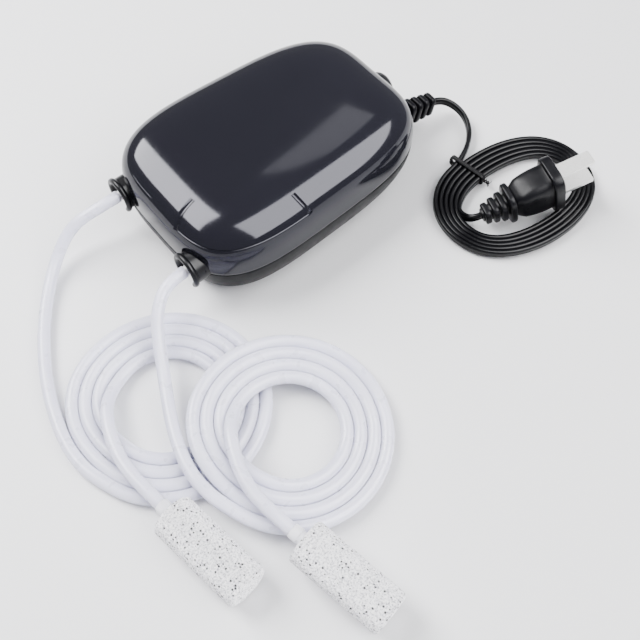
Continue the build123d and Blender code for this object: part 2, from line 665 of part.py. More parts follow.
# ---- cords --------------------------------------------------------------------------------------
def cord(name, points, diameter):
    """Round cord through runs joined by arcs as wide as the runs allow. Prints its radii."""
    runs = [Vector(*b) - Vector(*a) for a, b in zip(points, points[1:])]
    radii = []
    for before, after in zip(runs, runs[1:]):
        half_turn = math.radians(before.get_angle(after)) / 2
        radii.append(0.45 * min(before.length, after.length) / math.tan(half_turn))
    path = FilletPolyline(*points, radius=radii)
    place = Plane(origin=path @ 0, z_dir=path % 0)
    tube = sweep(place * Circle(diameter / 2), path)
    expected = math.pi * diameter**2 / 4 * path.length
    print(
        f"{name}: length {path.length:.1f}, volume over section x length {tube.volume / expected:.4f},"
        f" radii {[round(r, 1) for r in radii]}"
    )
    return tube


def flat_ring(outer, inner, height):
    return Pos(0, 0, height / 2) * (Cylinder(outer, height) - Cylinder(inner, height))


def make_coil_1():
    return Pos(*COIL_1, 0) * flat_ring(COIL_1_OUTER, COIL_1_INNER, COIL_HEIGHT)


def make_coil_2():
    """The second coil leans on the first, so it tilts about a line square to the two centres."""
    towards_first = math.degrees(math.atan2(COIL_1[1] - COIL_2[1], COIL_1[0] - COIL_2[0]))
    lift = COIL_2_OUTER * math.sin(math.radians(COIL_2_TILT)) + COIL_2_LIFT
    ring = flat_ring(COIL_2_OUTER, COIL_2_INNER, COIL_HEIGHT)
    return Pos(*COIL_2, lift) * Rot(0, 0, towards_first) * Rot(0, -COIL_2_TILT, 0) * ring


def beyond(tail):
    """Place at a tail's end whose X axis carries straight on."""
    run = Vector(*tail[-1]) - Vector(*tail[-2])
    heading = math.degrees(math.atan2(run.Y, run.X))
    rise = math.degrees(math.asin(run.Z / run.length))
    return Pos(*tail[-1]) * Rot(0, 0, heading) * Rot(0, -rise, 0)


def make_stone(tail):
    x = (NIPPLE_LENGTH, NIPPLE_LENGTH + STONE_LENGTH)
    stone = rod_x(STONE_RADIUS, x, 0, 0)
    return beyond(tail) * fillet(stone.edges(), STONE_EDGE)


def make_nipple(tail):
    nipple = rod_x(NIPPLE_RADIUS, (0, NIPPLE_LENGTH), 0, 0)
    nipple = chamfer(nipple.edges().group_by(Axis.X)[0], 0.5)
    return beyond(tail) * nipple


def oval(centre, radius, stretch):
    """Plan of the wound flex: an oval whose ends are round and whose sides bow slightly."""
    points = []
    for i in range(OUTLINE_POINTS):
        angle = 2 * math.pi * i / OUTLINE_POINTS
        reach = stretch * math.sin(math.pi / 2 * math.cos(angle))
        points.append((reach + radius * math.cos(angle), radius * math.sin(angle)))
    face = make_face(Spline(*points, periodic=True))
    return Pos(*centre, 0) * Rot(0, 0, OVAL_TURN) * face


def make_flex_coil():
    outside = oval(OVAL_CENTRE, OVAL_RADIUS, OVAL_STRETCH)
    hole = oval(OVAL_INNER_CENTRE, OVAL_INNER_RADIUS, OVAL_INNER_STRETCH)
    bottom = FLEX_REST - FLEX_WIDE / 2
    return Pos(0, 0, bottom) * (extrude(outside, FLEX_WIDE) - extrude(hole, FLEX_WIDE))


def make_tie():
    """Flat twist tie round the strands, its two ends twisted together on the inner side."""
    bottom, top = 0.0, FLEX_REST + FLEX_WIDE / 2 + TIE_THICK + 0.05
    inside = (bottom + TIE_THICK, top - TIE_THICK)
    outer_y, inner_y = 10.2, -10.0
    loop = block((-1.3, 1.3), (inner_y, outer_y), (bottom, top))
    loop -= block((-2, 2), (inner_y + TIE_THICK, outer_y - TIE_THICK), inside)
    ends = rod_y(0.8, 0.0, (inner_y - 3.5, inner_y), 3.0)
    return Pos(69.3, -47.9, 0) * Rot(0, 0, 8) * (loop + ends)


def plug_place():
    return Pos(*PLUG_AT) * Rot(0, 0, PLUG_HEADING) * Rot(0, -PLUG_RISE, 0)


def plug_section(x, width, height, radius):
    return Plane.YZ.offset(x) * RectangleRounded(width, height, radius)


def make_plug_body():
    """Moulded plug: ribbed boot, rear flange, waisted grip and face plate."""
    boot = loft([plug_section(0, 5.0, 5.8, 1.4), plug_section(11.0, 8.4, 9.4, 2.0)])
    for x, width, height in ((0.4, 7.6, 8.2), (3.8, 9.0, 9.8), (7.2, 10.4, 11.4)):
        boot += slab(2.6, width, height, 1.8, x=x)
    flange = slab(2.6, 13.0, 17.6, 3.4, x=10.6)
    grip = loft(
        [
            plug_section(13.1, 9.6, 11.0, 3.5),
            plug_section(16.7, 13.6, 15.2, 4.2),
            plug_section(22.4, 14.6, 17.6, 4.0),
            plug_section(BLADE_ROOT - 4.5, 14.4, 18.6, 3.2),
        ]
    )
    face = slab(4.6, 17.6, 22.4, 4.6, x=BLADE_ROOT - 4.6)
    return plug_place() * (boot + flange + grip + face)


def make_blades():
    blades = []
    for side in (-1, 1):
        z = side * BLADE_SPACING / 2
        blade = Box(BLADE_LENGTH, BLADE_WIDTH, BLADE_THICKNESS)
        blade = chamfer(blade.faces().sort_by(Axis.X)[-1].edges(), 0.5)
        blade = Pos(BLADE_ROOT + BLADE_LENGTH / 2, 0, z) * blade
        blades.append(plug_place() * blade)
    return Compound(children=blades)


# ---- write every piece --------------------------------------------------------------------------
os.makedirs("parts", exist_ok=True)

write("top_shell", make_top_shell())
write("base_tray", make_base_tray())
write("rubber_feet", make_feet())
write("casing_screws", make_casing_screws())
write("filter_cover", make_filter_cover())
write("filter_pad", make_filter_pad())

write_pair("outlet_collar", make_collar())
write_pair("outlet_nozzle", make_nozzle())
write("outlet_hoses", both_sides(make_hose()))

write("pump_frame", make_frame())
write("frame_isolators", make_isolators())
write("pivot_pins", make_pivot_pins())
write_pair("rocker_arm", make_rocker_arm())
write_pair("arm_magnet", make_arm_magnet())
write_pair("diaphragm_washer", make_diaphragm_washer())
write_pair("diaphragm_screw", make_diaphragm_screw())
write_pair("diaphragm", make_diaphragm())
write("clamp_rings", both_sides(make_clamp_ring()))
write_pair("head_body", make_head_body())
write("valve_gaskets", both_sides(make_gasket()))
write_pair("valve_cover", make_valve_cover())
write_pair("exhaust_flap", make_exhaust_flap())
write_pair("intake_flap", make_intake_flap())
write("head_screws", both_sides(make_head_screws()))

write("e_core", make_core())
write("core_screws", make_core_screws())
write("coil_bobbin", make_bobbin())
write("coil_winding", make_winding())

write("circuit_board", make_circuit_board())
write("flow_dial", make_flow_dial())
write("dial_shaft", make_dial_shaft())
write("control_knob", make_knob())
write("internal_wires", make_wires())
write("cord_strain_relief", make_strain_relief())

write("power_cord_lead", cord("power_cord_lead", FLEX_LEAD, FLEX_WIDE))
write("power_cord_coil", make_flex_coil())
write("power_cord_end", cord("power_cord_end", FLEX_END, FLEX_WIDE))
write("cord_tie", make_tie())
write("plug_body", make_plug_body())
write("plug_blades", make_blades())

write("airline_lead_1", cord("airline_lead_1", LEAD_1, TUBE))
write("airline_lead_2", cord("airline_lead_2", LEAD_2, TUBE))
write("airline_coil_1", make_coil_1())
write("airline_coil_2", make_coil_2())
write("airline_tail_1", cord("airline_tail_1", TAIL_1, TUBE))
write("airline_tail_2", cord("airline_tail_2", TAIL_2, TUBE))
write("air_stone_1", make_stone(TAIL_1))
write("air_stone_2", make_stone(TAIL_2))
write("stone_nipples", Compound(children=[make_nipple(TAIL_1), make_nipple(TAIL_2)]))
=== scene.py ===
import json
import math

import bmesh
import bpy
from mathutils import Matrix, Vector, noise


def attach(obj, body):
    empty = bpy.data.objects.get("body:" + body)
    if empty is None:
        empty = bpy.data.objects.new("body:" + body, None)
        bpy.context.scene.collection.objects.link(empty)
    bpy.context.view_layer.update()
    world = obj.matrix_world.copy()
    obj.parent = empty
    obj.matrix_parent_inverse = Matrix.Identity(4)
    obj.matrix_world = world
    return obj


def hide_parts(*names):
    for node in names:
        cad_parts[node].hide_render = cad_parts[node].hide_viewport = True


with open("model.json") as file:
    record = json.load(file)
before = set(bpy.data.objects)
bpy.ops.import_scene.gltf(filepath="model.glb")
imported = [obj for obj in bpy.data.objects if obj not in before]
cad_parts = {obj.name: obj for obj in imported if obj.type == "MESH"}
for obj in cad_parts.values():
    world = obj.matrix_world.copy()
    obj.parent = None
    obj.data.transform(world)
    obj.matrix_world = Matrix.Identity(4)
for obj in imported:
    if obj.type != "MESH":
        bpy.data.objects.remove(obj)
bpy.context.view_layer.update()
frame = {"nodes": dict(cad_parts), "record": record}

MM = 0.001
HOUSING = "housing"
MIX_SHARE, MIX_A, MIX_B, MIX_RESULT = 0, 6, 7, 2  # the colour sockets of a mix node


# ---- materials ----------------------------------------------------------------------------------
class Paint:
    """A node material under construction, with object coordinates in metres."""

    def __init__(self, name, **sockets):
        self.material = bpy.data.materials.new(name)
        self.material.use_nodes = True
        self.tree = self.material.node_tree
        self.shader = self.tree.nodes["Principled BSDF"]
        self.coords = self.node("ShaderNodeTexCoord").outputs["Object"]
        for key, value in sockets.items():
            self.shader.inputs[key.replace("_", " ")].default_value = value

    def node(self, kind, **inputs):
        made = self.tree.nodes.new(kind)
        for key, value in inputs.items():
            self.wire(value, made.inputs[key.replace("_", " ")])
        return made

    def wire(self, value, socket):
        if isinstance(value, bpy.types.NodeSocket):
            self.tree.links.new(value, socket)
        else:
            socket.default_value = value

    def noise(self, scale, detail=3.0, roughness=0.5):
        inputs = {"Scale": scale, "Detail": detail, "Roughness": roughness}
        return self.node("ShaderNodeTexNoise", Vector=self.coords, **inputs).outputs["Fac"]

    def cells(self, scale):
        return self.node("ShaderNodeTexVoronoi", Vector=self.coords, Scale=scale)

    def ramp(self, value, stops):
        """stops: (position, colour) pairs; a colour is a grey number or an RGB triple."""
        made = self.node("ShaderNodeValToRGB", Fac=value)
        ramp = made.color_ramp
        while len(ramp.elements) < len(stops):
            ramp.elements.new(1.0)
        for element, (position, colour) in zip(ramp.elements, stops):
            element.position = position
            grey = isinstance(colour, (int, float))
            element.color = (colour, colour, colour, 1) if grey else (*colour, 1)
        return made.outputs["Color"]

    def mix(self, share, a, b):
        made = self.tree.nodes.new("ShaderNodeMix")
        made.data_type = "RGBA"
        self.wire(share, made.inputs[MIX_SHARE])
        for value, socket in ((a, made.inputs[MIX_A]), (b, made.inputs[MIX_B])):
            flat = isinstance(value, tuple) and len(value) == 3
            self.wire((*value, 1) if flat else value, socket)
        return made.outputs[MIX_RESULT]

    def math(self, operation, a, b):
        made = self.tree.nodes.new("ShaderNodeMath")
        made.operation = operation
        self.wire(a, made.inputs[0])
        self.wire(b, made.inputs[1])
        return made.outputs[0]

    def colour(self, value):
        self.wire(value, self.shader.inputs["Base Color"])
        return self

    def rough(self, value):
        self.wire(value, self.shader.inputs["Roughness"])
        return self

    def bump(self, height, strength=0.3, distance=0.1):
        """distance is in millimetres."""
        made = self.node("ShaderNodeBump", Height=height, Strength=strength)
        made.inputs["Distance"].default_value = distance * MM
        if self.shader.inputs["Normal"].is_linked:
            earlier = self.shader.inputs["Normal"].links[0].from_socket
            self.tree.links.new(earlier, made.inputs["Normal"])
        self.tree.links.new(made.outputs["Normal"], self.shader.inputs["Normal"])
        return self


def srgb(code):
    """Linear colour of a hex code."""
    values = [int(code[i : i + 2], 16) / 255 for i in (0, 2, 4)]
    return tuple(v / 12.92 if v <= 0.04045 else ((v + 0.055) / 1.055) ** 2.4 for v in values)


def plastic(name, dark, light, roughness, grain=900.0, depth=0.02, spread=0.06, **sockets):
    """Moulded plastic: cloudy colour, fine moulded grain, and roughness that varies a little."""
    paint = Paint(name, **sockets)
    paint.colour(paint.mix(paint.noise(60.0, 4.0), srgb(dark), srgb(light)))
    patches = paint.noise(220.0, 5.0, 0.6)
    low, high = roughness - spread, roughness + spread
    paint.rough(paint.ramp(patches, [(0.3, low), (0.7, high)]))
    paint.bump(paint.noise(grain, 2.0), 0.25, depth)
    return paint.material


def metal(name, dark, light, roughness, stretch=(1, 1, 12)):
    """Metal with fine marks along one direction."""
    paint = Paint(name, Metallic=1.0)
    mapping = paint.node("ShaderNodeMapping", Vector=paint.coords)
    mapping.inputs["Scale"].default_value = stretch
    paint.coords = mapping.outputs["Vector"]
    marks = paint.noise(900.0, 4.0, 0.7)
    paint.colour(paint.mix(marks, srgb(dark), srgb(light)))
    paint.rough(paint.ramp(marks, [(0.3, roughness - 0.07), (0.7, roughness + 0.1)]))
    paint.bump(marks, 0.2, 0.01)
    return paint.material


def silicone():
    """Milky soft tube: light goes in and scatters, and the surface has a soft clear gloss."""
    paint = Paint(
        "silicone_tube", IOR=1.41, Transmission_Weight=0.08, Subsurface_Weight=0.6,
        Subsurface_Radius=(0.005, 0.005, 0.0056), Subsurface_Scale=0.7, Coat_Weight=0.3,
        Coat_Roughness=0.15,
    )
    paint.colour(paint.mix(paint.noise(60.0, 2.0), srgb("c6c6d8"), srgb("d3d3e1")))
    paint.rough(paint.ramp(paint.noise(200.0, 2.0), [(0.3, 0.26), (0.7, 0.34)]))
    paint.bump(paint.noise(90.0, 1.0), 0.1, 0.02)
    return paint.material


SPECK_RADIUS, SPECK_SHARE = 0.26, 0.62  # in cell widths, and of all cells


def stone():
    """Bonded mineral grains: white grains, fine grey grit and sparse black specks."""
    paint = Paint("stone_mineral")
    grains = paint.cells(1500.0).outputs["Distance"]
    grit = paint.noise(1500.0, 3.0, 0.7)
    greys = [(0.36, srgb("8f8e95")), (0.48, srgb("dedde2")), (0.62, srgb("fbfafb"))]
    tone = paint.ramp(grit, greys)
    chips = paint.cells(600.0)
    near = paint.math("LESS_THAN", chips.outputs["Distance"], SPECK_RADIUS)
    chance = paint.node("ShaderNodeSeparateColor", Color=chips.outputs["Color"]).outputs["Red"]
    speck = paint.math("MULTIPLY", near, paint.math("LESS_THAN", chance, SPECK_SHARE))
    paint.colour(paint.mix(speck, tone, srgb("2f2e33")))
    paint.rough(paint.ramp(grit, [(0.3, 0.95), (0.7, 0.8)]))
    paint.bump(grains, 0.5, 0.18)
    paint.bump(grit, 0.4, 0.15)
    return paint.material


def copper():
    paint = Paint("copper_winding", Metallic=0.8)
    wave = paint.node("ShaderNodeTexWave", Vector=paint.coords, Scale=900.0, Distortion=0.6)
    turns = wave.outputs["Fac"]
    # Each turn is painted lighter on its crown and darker in the groove between turns: painted
    # shade and light of the round wire.
    paint.colour(paint.mix(turns, srgb("6b3415"), srgb("b86a35")))
    paint.rough(paint.ramp(turns, [(0.2, 0.45), (0.8, 0.28)]))
    paint.bump(turns, 0.6, 0.12)
    return paint.material


def laminated():
    paint = Paint("lamination_steel", Metallic=0.9)
    wave = paint.node("ShaderNodeTexWave", Vector=paint.coords, Scale=320.0, Distortion=0.2)
    wave.bands_direction = "Z"
    sheets = wave.outputs["Fac"]
    paint.colour(paint.mix(sheets, srgb("4a4c50"), srgb("85878b")))
    paint.rough(paint.ramp(paint.noise(600.0), [(0.3, 0.35), (0.7, 0.55)]))
    paint.bump(sheets, 0.5, 0.06)
    return paint.material


def foam():
    paint = Paint("filter_foam")
    holes = paint.cells(1100.0).outputs["Distance"]
    # The pores are painted dark and the struts between them lighter: painted shade in the holes.
    paint.colour(paint.ramp(holes, [(0.1, srgb("17181a")), (0.6, srgb("4c4d52"))]))
    paint.rough(paint.ramp(holes, [(0.2, 1.0), (0.8, 0.85)]))
    paint.bump(holes, 1.0, 0.6)
    return paint.material


PAINTS = {
    "casing_plastic": plastic(
        "casing_plastic", "0d0d12", "101015", 0.1, 160.0, 0.002, 0.02,
        Specular_IOR_Level=0.28, Specular_Tint=(0.9, 0.9, 1.0, 1),
    ),
    "base_plastic": plastic("base_plastic", "070709", "0c0c0f", 0.45, Specular_IOR_Level=0.12),
    "foot_rubber": plastic("foot_rubber", "0a0a0b", "131315", 0.75, 500.0, 0.05),
    "steel_screw": metal("steel_screw", "85878c", "b9bbc0", 0.3),
    "filter_foam": foam(),
    "collar_plastic": plastic(
        "collar_plastic", "050507", "09090c", 0.3, 300.0, 0.005, Specular_IOR_Level=0.2
    ),
    "nozzle_plastic": plastic("nozzle_plastic", "dcdce0", "f0f0f2", 0.35),
    "frame_plastic": plastic("frame_plastic", "c8c8bf", "dedfd8", 0.5),
    "lamination_steel": laminated(),
    "bobbin_plastic": plastic("bobbin_plastic", "b5a472", "cdbd92", 0.5),
    "copper_winding": copper(),
    "magnet_ferrite": plastic("magnet_ferrite", "38393d", "54555a", 0.5, 1500.0, 0.06),
    "diaphragm_rubber": plastic("diaphragm_rubber", "1a1a1d", "29292d", 0.65, 600.0, 0.05),
    "head_plastic": plastic("head_plastic", "d6d5cb", "e8e7df", 0.45),
    "flap_rubber": plastic("flap_rubber", "7a2f29", "94413a", 0.6),
    "board_laminate": plastic("board_laminate", "255739", "347349", 0.45, 1800.0, 0.05),
    "pot_metal": metal("pot_metal", "808388", "a9acb0", 0.35),
    "knob_plastic": plastic(
        "knob_plastic", "060608", "0b0b0e", 0.3, 400.0, 0.006, Specular_IOR_Level=0.25
    ),
    "wire_insulation": plastic("wire_insulation", "6a2525", "8a3636", 0.45),
    "boot_rubber": plastic(
        "boot_rubber", "050507", "09090c", 0.32, 300.0, 0.012, Specular_IOR_Level=0.12
    ),
    "cord_pvc": plastic(
        "cord_pvc", "030304", "060608", 0.2, 250.0, 0.006, Specular_IOR_Level=0.14
    ),
    "tie_plastic": plastic("tie_plastic", "040405", "08080a", 0.4, Specular_IOR_Level=0.12),
    "blade_metal": metal("blade_metal", "e3e2e0", "f6f5f3", 0.3, (12, 1, 1)),
    "silicone_tube": silicone(),
    "stone_mineral": stone(),
    "nipple_plastic": plastic("nipple_plastic", "dcdce4", "efeff4", 0.35),
}
for entry in frame["record"]["subparts"]:
    part = frame["nodes"][entry["node"]]
    part.data.materials.clear()
    part.data.materials.append(PAINTS[entry["material_slot"]])


# ---- mesh helpers -------------------------------------------------------------------------------
SHARP = 35.0  # degrees between faces that meet in a crisp edge


def evaluated_mesh(obj):
    """New mesh of an object as its modifiers, or its curve, make it."""
    bpy.context.view_layer.update()
    depsgraph = bpy.context.evaluated_depsgraph_get()
    return bpy.data.meshes.new_from_object(obj.evaluated_get(depsgraph))


def finish_mesh(mesh, sharp=SHARP):
    """Turns the faces outwards and shades the mesh smooth up to its sharp edges."""
    made = bmesh.new()
    made.from_mesh(mesh)
    bmesh.ops.recalc_face_normals(made, faces=made.faces)
    made.to_mesh(mesh)
    made.free()
    mesh.shade_smooth()
    mesh.set_sharp_from_angle(angle=math.radians(sharp))


def piece(name, verts, faces, slot, replaces=(), body=HOUSING, place=None, sharp=SHARP):
    """Mesh piece from points in millimetres, in the row frame or in place's frame."""
    mesh = bpy.data.meshes.new(name)
    points = [Vector(v) for v in verts]
    if place is not None:
        points = [place @ p for p in points]
    mesh.from_pydata([p * MM for p in points], [], faces)
    finish_mesh(mesh, sharp)
    obj = bpy.data.objects.new(name, mesh)
    bpy.context.collection.objects.link(obj)
    settle(obj, slot, replaces, body)
    return obj


def settle(obj, slot, replaces=(), body=HOUSING):
    """Gives a piece its material, its body and the CAD nodes that it stands for."""
    obj.data.materials.clear()
    obj.data.materials.append(PAINTS[slot])
    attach(obj, body)
    if replaces:
        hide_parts(*replaces)


def skin(rings, start_cap=True, end_cap=True, closed=False):
    """Faces between rings of equally many points. closed joins the last ring to the first."""
    count = len(rings[0])
    verts = [p for ring in rings for p in ring]
    faces = []
    pairs = len(rings) if closed else len(rings) - 1
    for i in range(pairs):
        a, b = i * count, (i + 1) % len(rings) * count
        for j in range(count):
            k = (j + 1) % count
            faces.append((a + j, a + k, b + k, b + j))
    if not closed:
        for wanted, first in ((start_cap, 0), (end_cap, (len(rings) - 1) * count)):
            if wanted:
                centre = sum((Vector(v) for v in verts[first : first + count]), Vector()) / count
                verts.append(tuple(centre))
                hub = len(verts) - 1
                faces += [(first + j, first + (j + 1) % count, hub) for j in range(count)]
    return verts, faces


def join(*parts):
    """One list of points and faces from several."""
    verts, faces = [], []
    for some_verts, some_faces in parts:
        shift = len(verts)
        verts += some_verts
        faces += [tuple(i + shift for i in face) for face in some_faces]
    return verts, faces


ROUND_STEPS, RIM_STEPS = 64, 5


def lathe(profile, steps=ROUND_STEPS):
    """Closed solid turned about the X axis. profile: (x, radius) from one end to the other."""
    rings = []
    for x, radius in profile:
        ring = []
        for j in range(steps):
            angle = 2 * math.pi * j / steps
            ring.append((x, radius * math.cos(angle), radius * math.sin(angle)))
        rings.append(ring)
    return skin(rings)


def superellipse(angle, power):
    """Point of a superellipse of unit size."""
    c, s = math.cos(angle), math.sin(angle)
    x = math.copysign(abs(c) ** (2 / power), c)
    return x, math.copysign(abs(s) ** (2 / power), s)


def oblong(x, half_width, half_height, power=3.0, steps=48):
    """Superellipse ring square to X."""
    ring = []
    for j in range(steps):
        across, up = superellipse(2 * math.pi * (j + 0.5) / steps, power)
        ring.append((x, half_width * across, half_height * up))
    return ring


def plate(x, length, half_width, half_height, edge, power=6.0):
    """Thick plate square to X with rounded rims."""
    angles = [math.pi / 2 * i / (RIM_STEPS - 1) for i in range(RIM_STEPS)]
    rings = []
    for angle in angles:
        inset, along = edge * (1 - math.sin(angle)), edge * (1 - math.cos(angle))
        rings.append(oblong(x + along, half_width - inset, half_height - inset, power))
    for angle in angles:
        inset, along = edge * (1 - math.cos(angle)), edge * (1 - math.sin(angle))
        rings.append(oblong(x + length - along, half_width - inset, half_height - inset, power))
    return skin(rings)


def curve_points(name, points, radius=0.0):
    """Smooth open NURBS line led by a route's control points, in millimetres."""
    curve = bpy.data.curves.new(name, "CURVE")
    curve.dimensions = "3D"
    spline = curve.splines.new("NURBS")
    spline.points.add(len(points) - 1)
    for point, (x, y, z) in zip(spline.points, points):
        point.co = (x * MM, y * MM, z * MM, 1)
    spline.order_u = 3
    spline.use_endpoint_u = True
    spline.resolution_u = 6
    curve.bevel_depth = radius * MM
    curve.bevel_resolution = 6
    curve.use_fill_caps = True
    obj = bpy.data.objects.new(name, curve)
    bpy.context.collection.objects.link(obj)
    return obj


def polar_point(radius, degrees, z):
    angle = math.radians(degrees)
    return radius * math.cos(angle), radius * math.sin(angle), z


def ease(share):
    """Smooth step from 0 to 1."""
    share = min(1.0, max(0.0, share))
    return share * share * (3 - 2 * share)


# ---- camera -------------------------------------------------------------------------------------
EYE = Vector((-0.1406, -0.2028, 0.3118))
HEADING = math.atan2(0.774, 0.633)
PITCH = math.radians(60.22)
camera_data = bpy.data.cameras.new("camera")
camera_data.sensor_width = 36.0
camera_data.lens = 50.6
camera_data.clip_start = 0.01
camera = bpy.data.objects.new("camera", camera_data)
camera.location = EYE
camera.rotation_euler = (math.pi / 2 - PITCH, 0.0, HEADING - math.pi / 2)
bpy.context.collection.objects.link(camera)
bpy.context.scene.camera = camera


# ---- casing -------------------------------------------------------------------------------------
HALF_LENGTH, HALF_WIDTH, TAPER = 59.0, 41.0, 0.07
PLAN_POWER, DOME_POWER = 3.6, 4.1
SEAM_Z, DOME_RISE, FEET_Z = 18.5, 22.0, 2.5
BASE_INSET, BASE_EDGE, WALL = 4.5, 1.2, 2.2
OUTLINE_STEPS, DOME_STEPS = 240, 56
SEAM_GAP, SEAM_DEPTH = 0.16, 0.6
RIM_INSET, RIM_RISE = 0.14, 0.06  # the halves' rims are rounded where they meet
RIM_TOP_INSET, RIM_TOP = 0.02, 0.3
FINE_STEPS, INNER_STEPS = 4000, 20
BASE_STEPS, BASE_FLOOR = 24, 2.0
# The end wall above the knob is drawn in, most at one place across, from one height up.
KNOB_HOLLOW, HOLLOW_Y, HOLLOW_SPREAD = 1.1, 2.0, 24.0
HOLLOW_FROM, HOLLOW_RISE, HOLLOW_POWER = 20.0, 6.0, 6


def unit_outline():
    """Superellipse of unit size, its points evenly spaced along it."""
    fine = [superellipse(2 * math.pi * i / FINE_STEPS, PLAN_POWER) for i in range(FINE_STEPS)]
    return spread(fine + fine[:1], OUTLINE_STEPS + 1)[:-1]


def spread(points, count):
    """count points at even distances along a line of points."""
    lengths = [0.0]
    for a, b in zip(points, points[1:]):
        lengths.append(lengths[-1] + math.dist(a, b))
    out, i = [], 0
    for k in range(count):
        target = lengths[-1] * k / (count - 1)
        while i < len(points) - 2 and lengths[i + 1] < target:
            i += 1
        span = lengths[i + 1] - lengths[i]
        share = (target - lengths[i]) / span if span else 0.0
        out.append(tuple(a + (b - a) * share for a, b in zip(points[i], points[i + 1])))
    return out


OUTLINE = unit_outline()


def dome_profile(count):
    """(share of the plan's size, share of the rise) from the seam to the top."""
    fine = []
    for i in range(3001):
        angle = math.pi / 2 * i / 3000
        shrink = math.cos(angle) ** (2 / DOME_POWER) if i < 3000 else 0.0
        fine.append((shrink * HALF_WIDTH, math.sin(angle) ** (2 / DOME_POWER) * DOME_RISE))
    return [(a / HALF_WIDTH, b / DOME_RISE) for a, b in spread(fine, count)]


def plan_ring(inset, shrink, z):
    """The casing's outline at a height, drawn in by an inset and then shrunk."""
    length, width = (HALF_LENGTH - inset) * shrink, (HALF_WIDTH - inset) * shrink
    ring = []
    for x, y in OUTLINE:
        across = width * y * (1 - TAPER * x)
        beside = ((across - HOLLOW_Y) / HOLLOW_SPREAD) ** 2
        hollow = KNOB_HOLLOW * max(0.0, x) ** HOLLOW_POWER * math.exp(-beside)
        height = ease((z - HOLLOW_FROM) / HOLLOW_RISE)
        ring.append((length * x - hollow * height, across, z))
    return ring


def base_inset(z):
    """How far the base's wall stands in from the seam's outline at a height."""
    below = (SEAM_Z - z) / (SEAM_Z - FEET_Z)
    edge = max(0.0, 1 - (z - FEET_Z) / BASE_EDGE)
    return BASE_INSET * below**2 + BASE_EDGE * edge**2


def top_shell_mesh():
    edge = SEAM_Z + SEAM_GAP / 2
    outer = [
        plan_ring(WALL, 1, edge),
        plan_ring(SEAM_DEPTH, 1, edge),
        plan_ring(RIM_INSET, 1, edge + RIM_RISE),
        plan_ring(RIM_TOP_INSET, 1, edge + RIM_TOP),
    ]
    for shrink, rise in dome_profile(DOME_STEPS)[1:-1]:
        outer.append(plan_ring(0, shrink, SEAM_Z + DOME_RISE * rise))
    inner = [plan_ring(WALL, 1, edge)]
    for shrink, rise in dome_profile(INNER_STEPS)[1:-1]:
        inner.append(plan_ring(WALL, shrink, SEAM_Z + (DOME_RISE - WALL) * rise))
    return join(skin(outer, start_cap=False), skin(inner, start_cap=False))


def base_tray_mesh():
    edge = SEAM_Z - SEAM_GAP / 2
    outer = []
    for i in range(BASE_STEPS + 1):
        z = FEET_Z + (edge - RIM_TOP - FEET_Z) * (i / BASE_STEPS) ** 1.5
        outer.append(plan_ring(base_inset(z), 1, z))
    outer.append(plan_ring(RIM_INSET, 1, edge - RIM_RISE))
    outer.append(plan_ring(SEAM_DEPTH, 1, edge))
    outer.append(plan_ring(WALL, 1, edge))
    inner = [plan_ring(WALL, 1, edge)]
    for i in range(1, 9):
        z = SEAM_Z - (SEAM_Z - FEET_Z - BASE_FLOOR) * i / 8
        inner.append(plan_ring(base_inset(z) + WALL, 1, z))
    return join(skin(outer, end_cap=False), skin(inner, start_cap=False))


WELD_DISTANCE = 0.004


def weld(mesh):
    """Joins the points that the inner and outer walls share."""
    made = bmesh.new()
    made.from_mesh(mesh)
    bmesh.ops.remove_doubles(made, verts=made.verts, dist=WELD_DISTANCE * MM)
    bmesh.ops.recalc_face_normals(made, faces=made.faces)
    made.to_mesh(mesh)
    made.free()


def cutter(mesh_data, place=None):
    """Solid that is only cut out of others."""
    verts, faces = mesh_data
    mesh = bpy.data.meshes.new("cutter")
    points = [Vector(v) if place is None else place @ Vector(v) for v in verts]
    mesh.from_pydata([p * MM for p in points], [], faces)
    finish_mesh(mesh)
    obj = bpy.data.objects.new("cutter", mesh)
    bpy.context.collection.objects.link(obj)
    return obj


def carve(obj, cutters):
    """Cuts solids out of a piece and keeps the result as its mesh."""
    for tool in cutters:
        change = obj.modifiers.new("cut", "BOOLEAN")
        change.object = tool
        change.operation = "DIFFERENCE"
        change.solver = "EXACT"
    mesh = evaluated_mesh(obj)
    obj.modifiers.clear()
    obj.data = mesh
    finish_mesh(mesh)


def rod(x, radius, y, z):
    """Cutter for a round hole through an end wall."""
    return cutter(lathe([(x[0], radius), (x[1], radius)]), Matrix.Translation((0, y, z)))


OUTLET_Y, OUTLET_Z = 23.5, 19.5
KNOB_Y, KNOB_Z = 4.0, 15.5
RELIEF_AT, RELIEF_DROOP, RELIEF_YAW = (58.3, -12.6, 13.6), 12.0, -2.0
relief_place = (
    Matrix.Translation(RELIEF_AT)
    @ Matrix.Rotation(math.radians(RELIEF_YAW), 4, "Z")
    @ Matrix.Rotation(math.radians(RELIEF_DROOP), 4, "Y")
)
COLLAR_HOLE, KNOB_HOLE, RELIEF_HOLE = 6.85, 3.6, (3.4, 4.7, 6.0)
tools = [
    rod((-70, -50), COLLAR_HOLE, OUTLET_Y, OUTLET_Z),
    rod((-70, -50), COLLAR_HOLE, -OUTLET_Y, OUTLET_Z),
    rod((50, 70), KNOB_HOLE, KNOB_Y, KNOB_Z),
    cutter(skin([oblong(-8, *RELIEF_HOLE), oblong(4, *RELIEF_HOLE)]), relief_place),
]


